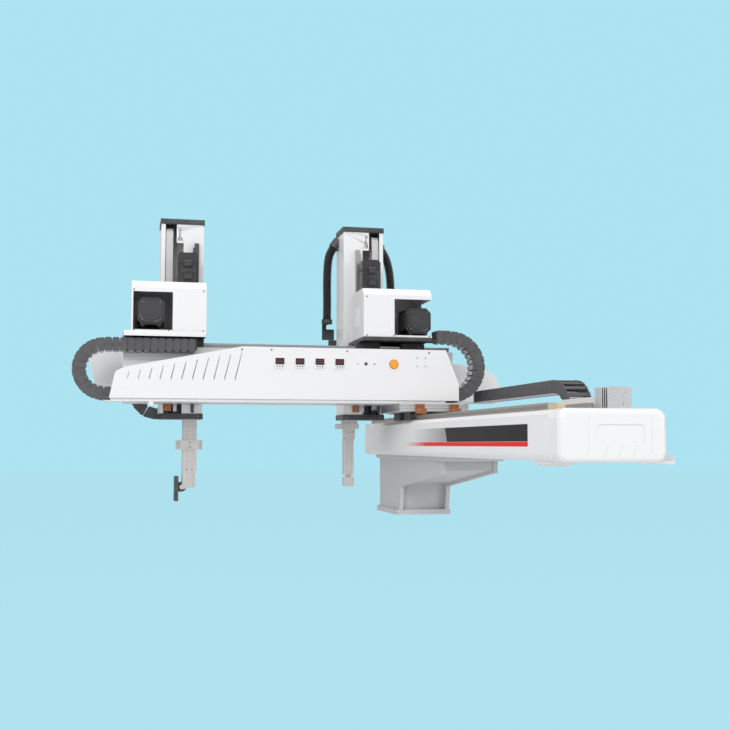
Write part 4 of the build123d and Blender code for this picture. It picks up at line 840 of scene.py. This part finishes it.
# %% The places of the screws
TOWARDS_US, UPWARD = (0, -1, 0), (0, 0, 1)
PANEL_FRONT, HOUSING_FRONT, FOOT_FRONT, COLUMN_TOP = -433.0, -423.0, -172.0, 1036.0
MAIN_HOUSING_SCREWS = ((-1041, 619), (-930, 619), (-819, 619), (-1041, 750), (-819, 750))
SUB_HOUSING_SCREWS = ((-274, 619), (-180, 619), (-56, 619), (-274, 750))
screw_set("front_panel_screws", "carriage",
          [(x, PANEL_FRONT, 562) for x in (-694, -597, -344, -60)], TOWARDS_US, 3.0, 1.4)
screw_set("front_panel_small_screws", "carriage",
          [(x, PANEL_FRONT, z) for x in (-102, -73) for z in (516, 544)], TOWARDS_US, 2.2, 0.8)
screw_set("main_housing_screws", "main_saddle",
          [(x, HOUSING_FRONT, z) for x, z in MAIN_HOUSING_SCREWS], TOWARDS_US, 2.6, 1.2)
screw_set("sub_housing_screws", "sub_saddle",
          [(x, HOUSING_FRONT, z) for x, z in SUB_HOUSING_SCREWS], TOWARDS_US, 2.6, 1.2)
for arm, left in (("main", -948.0), ("sub", -301.5)):
    screw_set(arm + "_top_screws", arm + "_column",
              [(left + dx, y, COLUMN_TOP) for dx in (14, 73, 132) for y in (-150, -60)], UPWARD, 3.4, 1.0)
    screw_set(arm + "_foot_screws", arm + "_column",
              [(left + dx, FOOT_FRONT, 349) for dx in (14, 132)], TOWARDS_US, 2.6, 1.0)

# %% The plugs along the rails
RAIL_PITCH = 60
TRAVERSE_RAIL_TOP, CROSSWISE_RAIL_TOP = 350.5, 589.5
rail_plugs("traverse_rail_plugs", "base",
           [(x, y) for x in (-95, 85) for y in range(-1545, 200, RAIL_PITCH)], TRAVERSE_RAIL_TOP)
rail_plugs("crosswise_rail_plugs", "carriage",
           [(x, y) for y in (-322, -220) for x in range(-1040, 30, RAIL_PITCH)], CROSSWISE_RAIL_TOP)

# %% [markdown]
# ## Motor ends
# The crosswise motors look at us with their encoder caps, each held by four small screws.
# The vertical motors carry a power and a signal plug, black mouldings with ribs and two
# screws. The plugs' bodies are in CAD. Ribs this fine could be a bump in the material, but
# they catch light at their ends, so they are mesh.

# %% Encoder caps
MOTOR_HALF, MOTOR_FRONT = 44.0, -417.0


def encoder_cap(name, body, x, z):
    """A stepped round cap and the four screws at the motor's corners."""
    build = Builder(black_paint, black_oxide, screw_steel, dark_plastic_and_socket_shade)
    build.rod(black_paint, (x, MOTOR_FRONT + 1, z), (x, MOTOR_FRONT - 2.2, z), MOTOR_HALF * 0.72, sides=48,
              chamfer=0.9)
    build.rod(black_oxide, (x, MOTOR_FRONT - 1.5, z), (x, MOTOR_FRONT - 2.9, z), MOTOR_HALF * 0.34, sides=32,
              chamfer=0.5)
    for sx in (-1, 1):
        for sz in (-1, 1):
            corner = (x + sx * MOTOR_HALF * 0.66, MOTOR_FRONT, z + sz * MOTOR_HALF * 0.66)
            screw(build, corner, TOWARDS_US, 2.4, 1.6)
    return build.finish_as(name, body)


encoder_cap("main_encoder_cap", "main_saddle", -986.0, 683.0)
encoder_cap("sub_encoder_cap", "sub_saddle", -90.6, 673.0)
print("encoder caps made")

# %% Plug ribs
PLUG_FRONT, PLUG_HEIGHTS, RIBS_ON_PLUG, PLUG_RIB_PITCH = -273.1, (838, 786), 5, 6


def plug_ribs(name, body, centre_x):
    """The ribs and the two screws of both plugs on a vertical motor."""
    build = Builder(black_oxide, dark_plastic_and_socket_shade, screw_steel)
    for z in PLUG_HEIGHTS:
        for rib in range(RIBS_ON_PLUG):
            x = centre_x - 12 + rib * PLUG_RIB_PITCH
            low, high = (x - 1.4, PLUG_FRONT - 1.6, z - 8), (x + 1.4, PLUG_FRONT + 0.6, z + 8)
            build.box(black_oxide, low, high, 0.4)
        for dx in (-19, 19):
            screw(build, (centre_x + dx, PLUG_FRONT, z), TOWARDS_US, 1.8, 1.0)
    return build.finish_as(name, body)


plug_ribs("main_plug_ribs", "main_saddle", -861.6)
plug_ribs("sub_plug_ribs", "sub_saddle", -218.9)
print("plug ribs made")

# %% [markdown]
# ## Belt clamps at the feet of the columns
# Below the crosswise beam the belt's ends show: an orange urethane block, a pale strip with
# four dots, and a T-shaped bracket. They are bolted to the lower end plate of each column.
# Both feet are alike, so one function makes a clamp from the place of its belt.

# %% Belt clamps
T_BRACKET = ((60, 390), (79, 390), (79, 362), (89, 362), (89, 390), (108, 390), (108, 399), (60, 399))
DOT_HEIGHTS = (370, 378, 386, 394)


def belt_clamp(name, body, belt_x):
    """The block with its screw, the dotted strip and the bracket, to the right of the belt."""
    build = Builder(orange_urethane, pale_nylon, dark_plastic_and_socket_shade, black_oxide, screw_steel)
    face = FOOT_FRONT
    build.box(orange_urethane, (belt_x - 12, face - 7, 367), (belt_x + 12, face + 2, 398), 1.5)
    screw(build, (belt_x, face - 7, 382), TOWARDS_US, 3.4, 1.6)
    build.box(pale_nylon, (belt_x + 19, face - 3, 366), (belt_x + 30, face + 2, 399), 0.6)
    for z in DOT_HEIGHTS:
        build.rod(dark_plastic_and_socket_shade, (belt_x + 24.5, face - 2.5, z), (belt_x + 24.5, face - 3.2, z), 1.8, sides=16)
    build.prism(black_oxide, [(belt_x + dx, z) for dx, z in T_BRACKET], face - 3, face + 2)
    return build.finish_as(name, body)


belt_clamp("main_belt_clamp", "main_column", -920.0)
belt_clamp("sub_belt_clamp", "sub_column", -258.0)
print("belt clamps made")

# %% [markdown]
# ## Small fittings
# Brass grease nipples stand on the guide blocks, and pale ties hold the cables where the sub
# chain is bolted to its saddle. A white sheet lip closes the front of the main saddle, and
# four small screws hold the main inner arm and its collar. Each is a few rods or boxes.

# %% Nipples, ties and the lip
NIPPLE_HEIGHT = 356


def nipples():
    """Four nipples: a six-sided foot, a cone and a round head."""
    build = Builder(brass)
    z = NIPPLE_HEIGHT
    for x in (-95.0, 85.0):
        for y, way in ((-397.0, -1), (-170.0, 1)):
            build.rod(brass, (x, y - way, z), (x, y + way * 4, z), 2.6, sides=6)
            build.rod(brass, (x, y + way * 4, z), (x, y + way * 7, z), 2.2, end_radius=1.3, sides=20)
            build.rod(brass, (x, y + way * 7, z), (x, y + way * 9.5, z), 1.8, sides=20, chamfer=0.6)
    return build.finish_as("grease_nipples", "carriage")


def ties():
    """Two pale ties, each a strap and its lock."""
    build = Builder(pale_nylon)
    for x in (-17.0, 4.0):
        build.box(pale_nylon, (x, -414, 640.8), (x + 5, -356, 642.6), 0.5)
        build.box(pale_nylon, (x - 1.5, -402, 641.5), (x + 6.5, -395, 645.5), 0.8)
    return build.finish_as("chain_ties", "sub_saddle")


def ledge():
    """The white sheet lip in front of the main saddle's plate."""
    build = Builder(white_coat)
    build.box(white_coat, (-1072, -431, 600), (-810, -427.1, 617), 0.8)
    return build.finish_as("main_ledge", "main_saddle")


nipples()
ties()
ledge()
screw_set("main_collar_screws", "main_inner", [(-842, -161, 243), (-842, -161, 259)], TOWARDS_US, 2.4, 0.8)
screw_set("main_arm_screws", "main_inner", [(-850, -156, 166), (-834, -156, 166)], TOWARDS_US, 2.2, 0.8)

# %% [markdown]
# ## The light
# White paint is hard to light: too much, and it clips. A sky texture could do it alone, but
# then every side is equally bright. A soft key from the left and above, a weaker fill from
# the right, a lamp overhead and an even world keep the front faces bright, and let the sides
# and undersides fall to grey. The key stands behind the camera and to its left.


# %% Lamps
def area_light(name, place, target, side, power):
    """A square lamp that looks at its target."""
    lamp = bpy.data.lights.new(name, "AREA")
    lamp.shape = "RECTANGLE"
    lamp.size, lamp.size_y = side, side
    lamp.energy = power
    light = bpy.data.objects.new(name, lamp)
    bpy.context.scene.collection.objects.link(light)
    light.location = place
    light.rotation_euler = (Vector(target) - Vector(place)).to_track_quat("-Z", "Y").to_euler()


area_light("key", (-2.6, -5.2, 3.0), (-0.5, -0.6, 0.4), 2.4, 112)
area_light("fill", (3.2, -3.8, 1.4), (0.0, -0.8, 0.3), 2.0, 30)
area_light("top", (-0.4, -0.6, 3.6), (-0.4, -0.6, 0.4), 3.0, 36)
print("lamps:", len(bpy.data.lights))

# %% [markdown]
# ## World and floor
# The world gives an even glow, and the camera, and the camera alone, sees the pale blue of the
# backdrop in its place. The floor lies well below the riser's foot, because the arms reach
# lower than that. Most of what the camera sees of it is the backdrop's colour, so that no
# horizon shows, and the rest is a real surface that takes the shadow.

# %% The world
BACKDROP = (0.42, 0.77, 0.88, 1.0)
world = bpy.data.worlds.new("studio")
bpy.context.scene.world = world
world.use_nodes = True
sky = world.node_tree
glow = sky.nodes["Background"]
glow.inputs["Color"].default_value = (0.98, 0.985, 1.0, 1)
glow.inputs["Strength"].default_value = 0.62
shown = add(sky, "Background", [("Color", BACKDROP), ("Strength", 1.0)])
choice = add(sky, "MixShader", [(1, glow.outputs[0]), (2, shown.outputs[0])])
sky.links.new(add(sky, "LightPath").outputs["Is Camera Ray"], choice.inputs[0])
sky.links.new(choice.outputs[0], sky.nodes["World Output"].inputs["Surface"])
print("world:", world.name)

# %% The floor
FLOOR_REACH, FLOOR_LEVEL, BACKDROP_SHARE = 30, -0.6, 0.93
floor_paint, floor_tree, floor_shader = new_material("floor")
floor_shader.inputs["Base Color"].default_value = (0.8, 0.81, 0.82, 1)
floor_shader.inputs["Roughness"].default_value = 0.9
even = add(floor_tree, "Emission", [("Color", BACKDROP), ("Strength", 1.0)])
floor_mix = add(floor_tree, "MixShader", [(1, floor_shader.outputs[0]), (2, even.outputs[0])])
seen = maths(floor_tree, "MULTIPLY", add(floor_tree, "LightPath").outputs["Is Camera Ray"], BACKDROP_SHARE)
floor_tree.links.new(seen, floor_mix.inputs[0])
floor_tree.links.new(floor_mix.outputs[0], floor_tree.nodes["Material Output"].inputs["Surface"])
plane = bpy.data.meshes.new("floor")
plane.from_pydata([(-FLOOR_REACH, -FLOOR_REACH, FLOOR_LEVEL), (FLOOR_REACH, -FLOOR_REACH, FLOOR_LEVEL),
                   (FLOOR_REACH, FLOOR_REACH, FLOOR_LEVEL), (-FLOOR_REACH, FLOOR_REACH, FLOOR_LEVEL)],
                  [], [(0, 1, 2, 3)])
plane.materials.append(floor_paint)
floor = bpy.data.objects.new("floor", plane)
bpy.context.scene.collection.objects.link(floor)
bpy.context.scene.view_settings.view_transform = "Standard"
print("floor level in metres:", FLOOR_LEVEL)
